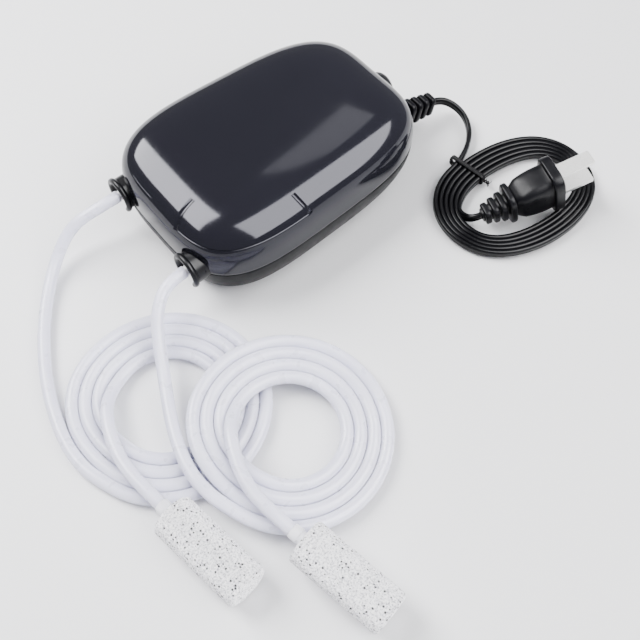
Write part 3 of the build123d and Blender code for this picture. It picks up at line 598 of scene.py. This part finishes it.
# ---- corner panel -------------------------------------------------------------------------------
GROOVE_Z, GROOVE_TOP = 32.2, 38.3
GROOVE_END_Y, GROOVE_TOP_Y = 13.5, 10.2
GROOVE_SIDE_X, GROOVE_TOP_X = -12.0, -14.5
SCRIBE_Z, SCRIBE_FROM, SCRIBE_TO = 33.4, 4.0, 18.0
GROOVE_LAP = 0.4  # the arcs start this far below the lower edge
EDGE_STEPS, ARC_STEPS, SCRIBE_STEPS = 70, 14, 24
GROOVE_SECTION = (
    (1.5, 1.0), (-1.5, 1.0), (-1.0, 0.0), (-0.75, -0.42), (-0.4, -0.85), (0.0, -1.0),
    (0.4, -0.85), (0.75, -0.42), (1.0, 0.0),
)


def shell_point(angle, z):
    """Point of the casing's outside at a plan angle and a height."""
    shrink = (1 - ((z - SEAM_Z) / DOME_RISE) ** DOME_POWER) ** (1 / DOME_POWER)
    x, y = superellipse(angle, PLAN_POWER)
    return Vector((HALF_LENGTH * shrink * x, HALF_WIDTH * shrink * y * (1 - TAPER * x), z))


def shell_angle(z, keep_going):
    """Plan angle in the near end's quarter where keep_going turns false."""
    low, high = math.pi + 1e-4, 1.5 * math.pi - 1e-4
    for _ in range(40):
        middle = (low + high) / 2
        if keep_going(shell_point(middle, z)):
            low = middle
        else:
            high = middle
    return low


def groove(route, half_width, depth, side=1):
    """Cutter along (angle, z) places of the casing; a side of -1 mirrors it across the pump."""
    rings = []
    for i, (angle, z) in enumerate(route):
        here = shell_point(angle, z)
        beside = shell_point(angle + 0.002, z) - here
        out = beside.cross(shell_point(angle, z + 0.05) - here)
        out.normalize()
        ahead = shell_point(*route[min(i + 1, len(route) - 1)]) - shell_point(*route[max(i - 1, 0)])
        across = out.cross(ahead.normalized()).normalized()
        ring = []
        for a, b in GROOVE_SECTION:
            lift = b * depth if b < 0 else b
            p = here + across * (a * half_width) + out * lift
            ring.append((p.x, p.y * side, p.z))
        rings.append(ring)
    return cutter(skin(rings))


def panel_routes():
    """Its lower edge, its two arcs over the shoulder, and a fine line for the end's far half."""
    first = shell_angle(GROOVE_Z, lambda p: p.y > -GROOVE_END_Y)
    last = shell_angle(GROOVE_Z, lambda p: p.x < GROOVE_SIDE_X)
    low = [(first + (last - first) * i / EDGE_STEPS, GROOVE_Z) for i in range(EDGE_STEPS + 1)]
    end_arc, side_arc = [], []
    for i in range(ARC_STEPS + 1):
        share = i / ARC_STEPS
        z = GROOVE_Z - GROOVE_LAP + (GROOVE_TOP - GROOVE_Z + GROOVE_LAP) * share
        y = -GROOVE_END_Y + (GROOVE_END_Y - GROOVE_TOP_Y) * share
        x = GROOVE_SIDE_X + (GROOVE_TOP_X - GROOVE_SIDE_X) * share
        end_arc.append((shell_angle(z, lambda p, y=y: p.y > y), z))
        side_arc.append((shell_angle(z, lambda p, x=x: p.x < x), z))
    first = shell_angle(SCRIBE_Z, lambda p: p.y > -SCRIBE_FROM)
    last = shell_angle(SCRIBE_Z, lambda p: p.y > -SCRIBE_TO)
    steps = range(SCRIBE_STEPS + 1)
    scribe = [(first + (last - first) * i / SCRIBE_STEPS, SCRIBE_Z) for i in steps]
    return low, end_arc, side_arc, scribe


shell = piece("top_casing", *top_shell_mesh(), "casing_plastic", ["top_shell"])
weld(shell.data)
lower_edge, end_arc, side_arc, scribe = panel_routes()
grooves = [
    groove(lower_edge, 0.4, 0.4),
    groove(end_arc, 1.25, 0.75),
    groove(side_arc, 1.1, 0.7),
    groove(scribe, 0.3, 0.25, side=-1),
]
carve(shell, tools + grooves)
for tool in grooves:
    bpy.data.objects.remove(tool)
base = piece("base_casing", *base_tray_mesh(), "base_plastic", ["base_tray"])
weld(base.data)
carve(base, tools)
for tool in tools:
    bpy.data.objects.remove(tool)


# ---- outlet collars -----------------------------------------------------------------------------
COLLAR_OPENING, COLLAR_WALL, COLLAR_BEAD, COLLAR_REACH = 84.0, (5.15, 6.72), 1.22, 7.66
COLLAR_ROOT_X, COLLAR_NECK_X, BEAD_X = -53.0, -59.2, -60.55
BEAD_FROM, BEAD_SWEEP, BEAD_STEPS, COLLAR_STEPS = 25, 255, 12, 80
TIP_ROUNDING, TIP_LEAST = 9.0, 0.25  # the open ends close in, over degrees, to a share of the wall


def collar_mesh(y):
    """Hood of the outlet: a sleeve with a round bead on its rim, open underneath."""
    inner, outer = COLLAR_WALL
    middle = COLLAR_REACH - COLLAR_BEAD
    section = [(COLLAR_ROOT_X, outer), (COLLAR_NECK_X, outer)]
    for i in range(BEAD_STEPS + 1):
        angle = math.radians(BEAD_FROM + BEAD_SWEEP * i / BEAD_STEPS)
        bead = BEAD_X + COLLAR_BEAD * math.cos(angle), middle + COLLAR_BEAD * math.sin(angle)
        section.append(bead)
    section += [(-59.9, inner), (COLLAR_ROOT_X, inner)]
    heart = sum(r for _, r in section) / len(section)
    sweep_angle = 360 - COLLAR_OPENING
    rings = []
    for j in range(COLLAR_STEPS + 1):
        share = j / COLLAR_STEPS
        end = min(share, 1 - share) * sweep_angle / TIP_ROUNDING
        rounding = math.sqrt(max(0.0, 1 - (1 - min(1.0, end)) ** 2))
        full = rounding * (1 - TIP_LEAST) + TIP_LEAST
        angle = math.radians(-90 + COLLAR_OPENING / 2 + sweep_angle * share)
        ring = []
        for x, radius in section:
            out = heart + (radius - heart) * full
            along_x = x if x >= COLLAR_NECK_X else BEAD_X + (x - BEAD_X) * full
            ring.append((along_x, y + out * math.cos(angle), OUTLET_Z + out * math.sin(angle)))
        rings.append(ring)
    return skin(rings)


for number, side in ((1, 1), (2, -1)):
    hood = collar_mesh(side * OUTLET_Y)
    piece(f"collar_{number}", *hood, "collar_plastic", [f"outlet_collar_{number}"])


# ---- knob ---------------------------------------------------------------------------------------
KNOB_SKIRT = [(59.6, 6.4), (59.65, 6.9), (59.9, 7.3)]
KNOB_FROM, KNOB_RISE, KNOB_RADIUS, KNOB_TIP = 61.0, 6.1, 7.4, 0.05
KNOB_RIBS, RIB_DEPTH, RIB_FROM, RIB_FADE = 24, 0.14, 6.3, 0.9
KNOB_STEPS, CROWN_STEPS = 120, 18


def knob_mesh():
    """Domed cap on a short skirt, with fine ribs round its side."""
    profile = list(KNOB_SKIRT)
    for i in range(CROWN_STEPS + 1):
        angle = math.radians(90 * i / CROWN_STEPS)
        x = KNOB_FROM + KNOB_RISE * math.sin(angle) ** 0.95
        profile.append((x, KNOB_TIP + KNOB_RADIUS * math.cos(angle) ** 0.6))
    verts, faces = lathe(profile, KNOB_STEPS)
    ribbed = []
    for x, y, z in verts:
        radius = math.hypot(y, z)
        valley = 0.5 - 0.5 * math.cos(KNOB_RIBS * math.atan2(z, y))
        depth = RIB_DEPTH * ease((radius - RIB_FROM) / RIB_FADE) * valley
        scale = (radius - depth) / radius if radius > 0.1 else 1.0
        ribbed.append((x, y * scale, z * scale))
    return ribbed, faces


piece(
    "flow_knob", *knob_mesh(), "knob_plastic", ["control_knob"], body="knob",
    place=Matrix.Translation((0, KNOB_Y, KNOB_Z)),
)


# ---- strain relief ------------------------------------------------------------------------------
RELIEF_PLATES, PLATE_PITCH, PLATE_THICK = 5, 4.05, 2.3


def relief_mesh():
    """Tapered spine with a collar inside the wall and a row of smaller and smaller plates."""
    spine = [oblong(-4.0, 3.1, 4.3, 5.0), oblong(1.0, 2.6, 3.5, 4.0), oblong(20.4, 1.7, 2.3)]
    parts = [skin(spine), plate(-4.4, 1.5, 4.2, 5.6, 0.4)]
    for i in range(RELIEF_PLATES):
        share = i / (RELIEF_PLATES - 1)
        width, height = 4.15 - 0.75 * share, 6.1 - 1.2 * share
        parts.append(plate(1.5 + PLATE_PITCH * i, PLATE_THICK, width, height, 0.6, 4.5))
    return join(*parts)


relief = piece(
    "cord_boot", *relief_mesh(), "boot_rubber", ["cord_strain_relief"], place=relief_place
)


# ---- airlines -----------------------------------------------------------------------------------
TUBE_RADIUS, TUBE_REST, TUBE_PITCH = 2.5, 2.55, 5.05
STEPS_PER_TURN = 24
SPLINE_PULL = 1.0086  # a spline with that many points in a turn runs this much inside them
JOG_FROM, JOG_TO = 120.0, 195.0  # where in each turn the strands step inwards
COIL_1, COIL_1_RADIUS = (-96.0, -57.8), 37.1
COIL_2, COIL_2_RADIUS = (-68.0, -96.2), 36.25
COIL_2_TILT, COIL_2_EDGE, COIL_2_LIFT = 6.0, 38.75, 0.03
COIL_FROM, COIL_TO = 200.0, 1544.9  # degrees along both windings
LEAD_1 = [
    (-61.5, 23.5, 19.5), (-70.5, 23.5, 19.5), (-83.0, 27.2, 14.2), (-95.5, 23.2, 4.9),
    (-107.0, 11.5, 2.55), (-117.0, -2.5, 2.55), (-125.5, -18.5, 2.55), (-131.2, -34.0, 2.55),
    (-134.2, -48.5, 2.55), (-133.9, -60.2, 2.55), (-130.7, -70.4, 2.55),
]
TAIL_1 = [
    (-101.6, -36.7, 2.55), (-109.1, -40.4, 3.9), (-114.6, -46.2, 7.2), (-118.3, -53.1, 8.0),
    (-121.0, -61.0, 8.0), (-122.3, -69.5, 8.0), (-122.0, -79.0, 8.5), (-120.3, -90.6, 8.5),
]
LEAD_2 = [
    (-61.5, -23.5, 19.5), (-69.5, -23.5, 19.5), (-77.8, -28.2, 16.6), (-84.2, -36.3, 12.2),
    (-89.8, -47.5, 9.2), (-96.5, -60.0, 8.2), (-102.6, -74.0, 8.4), (-105.8, -87.0, 8.8),
    (-105.4, -98.2, 8.6), (-102.0, -108.6, 7.7),
]
TAIL_2 = [
    (-73.5, -75.8, 8.65), (-80.7, -79.4, 10.2), (-85.9, -85.0, 13.3), (-89.5, -91.6, 13.8),
    (-92.6, -99.8, 13.6), (-94.0, -109.8, 13.4), (-93.0, -119.7, 14.12), (-91.4, -127.7, 13.27),
]
towards_first = math.atan2(COIL_1[1] - COIL_2[1], COIL_1[0] - COIL_2[0])
coil_2_height = COIL_2_EDGE * math.sin(math.radians(COIL_2_TILT)) + COIL_2_LIFT
coil_1_place = Matrix.Translation((*COIL_1, 0))
coil_2_place = (
    Matrix.Translation((*COIL_2, coil_2_height))
    @ Matrix.Rotation(towards_first, 4, "Z")
    @ Matrix.Rotation(-math.radians(COIL_2_TILT), 4, "Y")
    @ Matrix.Rotation(-towards_first, 4, "Z")
)


def spiral(place, outer, first=COIL_FROM, last=COIL_TO):
    """Strands side by side: whole turns of one radius that step inwards in the jog."""
    count = round((last - first) / 360 * STEPS_PER_TURN)
    jog = JOG_TO - JOG_FROM
    points = []
    for i in range(1, count):
        angle = first + (last - first) * i / count
        steps = sum(ease((angle - JOG_FROM - 360 * k) / jog) for k in range(1, 6))
        radius = (outer - TUBE_PITCH * steps) * SPLINE_PULL
        points.append(tuple(place @ Vector(polar_point(radius, angle, TUBE_REST))))
    return points


route_1 = LEAD_1 + spiral(coil_1_place, COIL_1_RADIUS) + TAIL_1
route_2 = LEAD_2 + spiral(coil_2_place, COIL_2_RADIUS) + TAIL_2
airline_1 = curve_points("airline_1", route_1, TUBE_RADIUS)
settle(airline_1, "silicone_tube", ["airline_lead_1", "airline_coil_1", "airline_tail_1"])
airline_2 = curve_points("airline_2", route_2, TUBE_RADIUS)
settle(airline_2, "silicone_tube", ["airline_lead_2", "airline_coil_2", "airline_tail_2"])


# ---- air stones ---------------------------------------------------------------------------------
STONE_RADIUS, STONE_LENGTH, STONE_EDGE, HUB_LENGTH = 8.5, 38.0, 1.6, 5.0
STONE_STEPS, STONE_ROUND, EDGE_ARC_STEPS = 120, 160, 8
GRIT, PIT_DEPTH, PIT_LEVEL, STONE_SINK = ((0.16, 1.3), (0.1, 2.9)), 0.7, 0.28, 0.16


def beyond(tail):
    """Place at a tail's end whose X axis carries straight on."""
    run = Vector(tail[-1]) - Vector(tail[-2])
    turn = Matrix.Rotation(math.atan2(run.y, run.x), 4, "Z")
    rise = Matrix.Rotation(-math.asin(run.z / run.length), 4, "Y")
    return Matrix.Translation(tail[-1]) @ turn @ rise


def stone_mesh(seed):
    """Rough porous cylinder with worn edges."""
    half = [(0.0, 0.05), (0.0, STONE_RADIUS - STONE_EDGE)]
    for i in range(1, EDGE_ARC_STEPS + 1):
        angle = math.pi / 2 * i / EDGE_ARC_STEPS
        radius = STONE_RADIUS - STONE_EDGE * (1 - math.sin(angle))
        half.append((STONE_EDGE * (1 - math.cos(angle)), radius))
    line = half + [(STONE_LENGTH - x, r) for x, r in reversed(half)]
    verts, faces = lathe(spread(line, STONE_STEPS), STONE_ROUND)
    rough = []
    for v in verts:
        p = Vector(v)
        out = Vector((0, p.y, p.z))
        if p.x < STONE_EDGE or p.x > STONE_LENGTH - STONE_EDGE:
            out += Vector((p.x - STONE_LENGTH / 2, 0, 0)) * 0.3
        straight = Vector((math.copysign(1, p.x - STONE_LENGTH / 2), 0, 0))
        out = out.normalized() if out.length > 0.01 else straight
        spot = p + Vector((seed, 0, 0))
        grit = sum(size * noise.noise(spot * pitch) for size, pitch in GRIT)
        pit = max(0.0, noise.noise(spot * 1.9 + Vector((9, 4, 2))) - PIT_LEVEL)
        rough.append(tuple(p + out * (grit - PIT_DEPTH * pit - STONE_SINK)))
    return rough, faces


def hub_mesh():
    """Short flanged nipple between a tube's end and its stone."""
    profile = [(0.0, 2.0), (0.0, 2.5), (0.4, 2.8), (3.2, 2.8), (3.6, 2.5), (5.2, 2.5)]
    return lathe(profile, 48)


def shifted(mesh_data, x):
    verts, faces = mesh_data
    return [(a + x, b, c) for a, b, c in verts], faces


stones, hubs = [], []
for number, tail in ((1, TAIL_1), (2, TAIL_2)):
    place = beyond(tail)
    stone_shape = shifted(stone_mesh(40.0 * number), HUB_LENGTH)
    stones.append(
        piece(
            f"stone_{number}", *stone_shape, "stone_mineral", [f"air_stone_{number}"],
            place=place, sharp=80,
        )
    )
    hub = piece(f"hub_{number}", *hub_mesh(), "nipple_plastic", ["stone_nipples"], place=place)
    hubs.append(hub)


# ---- mains lead ---------------------------------------------------------------------------------
FLEX_THIN, FLEX_WIDE, FLEX_REST = 2.36, 3.8, 2.55
OVAL_FROM, OVAL_TO = ((76.3, -70.4), 27.9, 9.0), ((76.4, -71.5), 16.2, 11.0)
OVAL_TURN = math.radians(-5.0)
OVAL_FIRST, OVAL_LAST = 105.0, 1946.0
OVAL_PULL = 1.006  # the spline runs this much inside its points
FLEX_STEPS, CORE_ROUNDNESS, VALLEY_DEPTH, VALLEY_WIDTH = 28, 0.62, 0.17, 0.42
RELIEF_LENGTH = 20.5
PLUG_AT, PLUG_HEADING, PLUG_RISE = (53.8, -72.0, 7.95), -19.0, 14.0


def along(start, heading, rise, distance):
    turn, climb = math.radians(heading), math.radians(rise)
    flat = distance * math.cos(climb)
    return (
        start[0] + flat * math.cos(turn),
        start[1] + flat * math.sin(turn),
        start[2] + distance * math.sin(climb),
    )


FLEX_LEAD = [
    along(RELIEF_AT, RELIEF_YAW, -RELIEF_DROOP, RELIEF_LENGTH),
    along(RELIEF_AT, RELIEF_YAW, -RELIEF_DROOP, RELIEF_LENGTH + 5.5),
    (87.9, -18.5, 6.6), (88.8, -25.6, 4.5), (85.8, -32.2, 2.9), (80.4, -37.2, 2.55),
    (74.2, -40.7, 2.55), (67.7, -43.0, 2.55),
]
FLEX_END = [
    (51.5, -60.8, 2.55), (49.6, -64.6, 3.5),
    along(PLUG_AT, PLUG_HEADING, PLUG_RISE, -4.4), PLUG_AT,
]


def oval_winding():
    """Flat flex wound on edge into an oval, each turn inside the last."""
    count = round((OVAL_LAST - OVAL_FIRST) / 360 * STEPS_PER_TURN)
    (x0, y0), radius0, reach0 = OVAL_FROM
    (x1, y1), radius1, reach1 = OVAL_TO
    c, s = math.cos(OVAL_TURN), math.sin(OVAL_TURN)
    points = []
    for i in range(1, count):
        share = i / count
        angle = math.radians(OVAL_FIRST + (OVAL_LAST - OVAL_FIRST) * share)
        radius = (radius0 + (radius1 - radius0) * share) * OVAL_PULL
        reach = reach0 + (reach1 - reach0) * share
        x = reach * math.sin(math.pi / 2 * math.cos(angle)) + radius * math.cos(angle)
        y = radius * math.sin(angle)
        cx, cy = x0 + (x1 - x0) * share, y0 + (y1 - y0) * share
        points.append((cx + x * c - y * s, cy + x * s + y * c, FLEX_REST))
    return points


def read_line(route, name):
    """The points of a route's smooth line, in millimetres."""
    guide = curve_points(name, route)
    points = [v.co / MM for v in evaluated_mesh(guide).vertices]
    bpy.data.objects.remove(guide)
    return points


def flex_section():
    """Flat twin flex on edge: two round cores with a shallow valley between them."""
    section = []
    for j in range(FLEX_STEPS):
        angle = 2 * math.pi * j / FLEX_STEPS
        up = math.sin(angle) * FLEX_WIDE / 2
        bulge = abs(math.cos(angle)) ** CORE_ROUNDNESS
        across = math.copysign(bulge, math.cos(angle)) * FLEX_THIN / 2
        across *= 1 - VALLEY_DEPTH * math.exp(-((up / VALLEY_WIDTH) ** 2))
        section.append((across, up))
    return section


def sweep(points, section):
    """Upright section carried along a line."""
    rings = []
    for i, point in enumerate(points):
        ahead = points[min(i + 1, len(points) - 1)] - points[max(i - 1, 0)]
        ahead.normalize()
        side = ahead.cross(Vector((0, 0, 1))).normalized()
        up = side.cross(ahead).normalized()
        rings.append([tuple(point + side * a + up * b) for a, b in section])
    return skin(rings)


flex_line = read_line(FLEX_LEAD + oval_winding() + FLEX_END, "flex_route")
flex = piece(
    "mains_flex", *sweep(flex_line, flex_section()), "cord_pvc",
    ["power_cord_lead", "power_cord_coil", "power_cord_end"], sharp=70,
)


# ---- plug ---------------------------------------------------------------------------------------
BLADE_ROOT, FACE_THICK = 33.6, 4.6
BOOT_SLABS = ((0.4, 3.8, 4.1), (3.8, 4.5, 4.9), (7.2, 5.2, 5.7))  # each: x, half width, half height
GRIP = [
    (12.9, 4.7, 5.4), (13.8, 5.0, 5.8), (15.2, 5.9, 6.8), (16.8, 6.8, 7.6), (18.8, 7.15, 8.2),
    (21.4, 7.3, 8.7), (24.0, 7.3, 8.95), (26.5, 7.2, 9.15), (28.6, 7.2, 9.25), (29.4, 7.5, 9.5),
]
DISH_DEPTH, DISH_X, DISH_LENGTH, DISH_HEIGHT = 1.2, 20.0, 3.4, 5.0
plug_place = (
    Matrix.Translation(PLUG_AT)
    @ Matrix.Rotation(math.radians(PLUG_HEADING), 4, "Z")
    @ Matrix.Rotation(-math.radians(PLUG_RISE), 4, "Y")
)


def plug_mesh():
    """Ribbed boot, flange, waisted grip with a thumb dish on each side, and the face plate."""
    parts = [skin([oblong(-0.3, 2.4, 2.8), oblong(11.0, 4.1, 4.6)])]
    for x, width, height in BOOT_SLABS:
        parts.append(plate(x, 2.6, width, height, 0.7, 4.5))
    parts.append(plate(10.6, 2.6, 6.5, 8.8, 0.7, 4.0))
    grip = []
    for at, width, height in GRIP:
        ring = []
        for x, y, z in oblong(at, width, height, 4.6, 64):
            near = ((x - DISH_X) / DISH_LENGTH) ** 2
            dish = DISH_DEPTH * math.exp(-near - (z / DISH_HEIGHT) ** 2)
            ring.append((x, y - math.copysign(dish, y) if abs(y) > 3 else y, z))
        grip.append(ring)
    parts.append(skin(grip))
    parts.append(plate(BLADE_ROOT - FACE_THICK, FACE_THICK, 8.8, 11.2, 0.8, 4.4))
    return join(*parts)


plug = piece("plug_moulding", *plug_mesh(), "boot_rubber", ["plug_body"], place=plug_place)


# ---- tie ----------------------------------------------------------------------------------------
TIE_PLACE = Matrix.Translation((69.3, -47.9, 0)) @ Matrix.Rotation(math.radians(8.0), 4, "Z")
BAND_HALF_WIDTH, BAND_THICK, BAND_CORNER = 0.95, 0.7, 1.2
BAND_LOW, BAND_HIGH, BAND_NEAR, BAND_FAR = 0.4, 4.75, -8.7, 8.7
BAND_SECTION = (
    (-1, -1), (-0.75, -1.4), (0.75, -1.4), (1, -1), (1, 1), (0.4, 1.4), (0, 0.9), (-0.4, 1.4),
    (-1, 1),
)
END_RADIUS, END_LENGTH, END_TURNS, END_STEPS, END_HEIGHT = 0.42, 3.6, 1.6, 24, 3.2


def tie_mesh():
    """Flat band round the strands, with its two ends twisted together."""
    near, far = BAND_NEAR + BAND_CORNER, BAND_FAR - BAND_CORNER
    low, high = BAND_LOW + BAND_CORNER, BAND_HIGH - BAND_CORNER
    line = []
    for cy, cz, start in ((far, high, 0), (near, high, 90), (near, low, 180), (far, low, 270)):
        for k in range(7):
            angle = math.radians(start + 15 * k)
            line.append((cy + BAND_CORNER * math.cos(angle), cz + BAND_CORNER * math.sin(angle)))
    rings = []
    for i, (y, z) in enumerate(line):
        (y0, z0), (y1, z1) = line[i - 1], line[(i + 1) % len(line)]
        length = math.hypot(y1 - y0, z1 - z0) or 1.0
        ny, nz = (z1 - z0) / length, -(y1 - y0) / length
        ring = []
        for a, b in BAND_SECTION:
            across, out = a * BAND_HALF_WIDTH, b * BAND_THICK / 2
            ring.append((across, y + out * ny, z + out * nz))
        rings.append(ring)
    parts = [skin(rings, closed=True)]
    for phase in (0.0, math.pi):
        core = []
        for i in range(END_STEPS + 1):
            share = i / END_STEPS
            angle = phase + 2 * math.pi * END_TURNS * share
            apart = 0.5 + 0.6 * ease((share - 0.75) / 0.25)
            x, z = apart * math.cos(angle), END_HEIGHT + apart * math.sin(angle)
            y = BAND_NEAR - END_LENGTH * share
            turns = [2 * math.pi * j / 10 for j in range(10)]
            ring = [(x + END_RADIUS * math.cos(a), y, z + END_RADIUS * math.sin(a)) for a in turns]
            core.append(ring)
        parts.append(skin(core))
    return join(*parts)


tie = piece("twist_tie", *tie_mesh(), "tie_plastic", ["cord_tie"], place=TIE_PLACE)


# ---- stage --------------------------------------------------------------------------------------
def floor_material():
    paint = Paint("floor")
    paint.colour(paint.mix(paint.noise(3.0), srgb("f4f4f6"), srgb("f9f9fb")))
    paint.rough(0.6)
    return paint.material


FLOOR_HALF, FLOOR_DROP = 6, 0.0002
corners = [(x * FLOOR_HALF, y * FLOOR_HALF, 0) for x, y in ((-1, -1), (1, -1), (1, 1), (-1, 1))]
floor_mesh = bpy.data.meshes.new("floor")
floor_mesh.from_pydata(corners, [], [(0, 1, 2, 3)])
floor = bpy.data.objects.new("floor", floor_mesh)
floor.location.z = -FLOOR_DROP
floor.data.materials.append(floor_material())
bpy.context.collection.objects.link(floor)

world = bpy.data.worlds.new("world")
bpy.context.scene.world = world
world.use_nodes = True
sky = world.node_tree.nodes["Background"]
sky.inputs["Color"].default_value = (0.95, 0.95, 1.0, 1)
sky.inputs["Strength"].default_value = 0.45

CEILING = 1.0


def ceiling_panel(name, centre, size, radiance, roll=0.0, glossy=True):
    """Soft panel overhead that faces straight down and is either mirrored or lights evenly."""
    light = bpy.data.lights.new(name, "AREA")
    light.shape = "RECTANGLE"
    light.size, light.size_y = size
    light.energy = radiance * math.pi * size[0] * size[1]
    obj = bpy.data.objects.new(name, light)
    obj.location = (*centre, CEILING)
    obj.rotation_euler = (0.0, 0.0, math.radians(roll))
    obj.visible_glossy = glossy
    obj.visible_diffuse = not glossy
    bpy.context.collection.objects.link(obj)


NEAR_PANEL, END_PANEL = ((0.55, -0.865), (1.3, 1.67)), ((-0.44, 1.15), (0.72, 1.7))
ceiling_panel("near_panel", *NEAR_PANEL, 18.0)
ceiling_panel("end_panel", *END_PANEL, 29.0)
ceiling_panel("far_panel", (0.62, 0.44), (0.42, 0.34), 2.9, 20.0)
ceiling_panel("near_fill", *NEAR_PANEL, 20.0, glossy=False)
ceiling_panel("end_fill", *END_PANEL, 22.0, glossy=False)
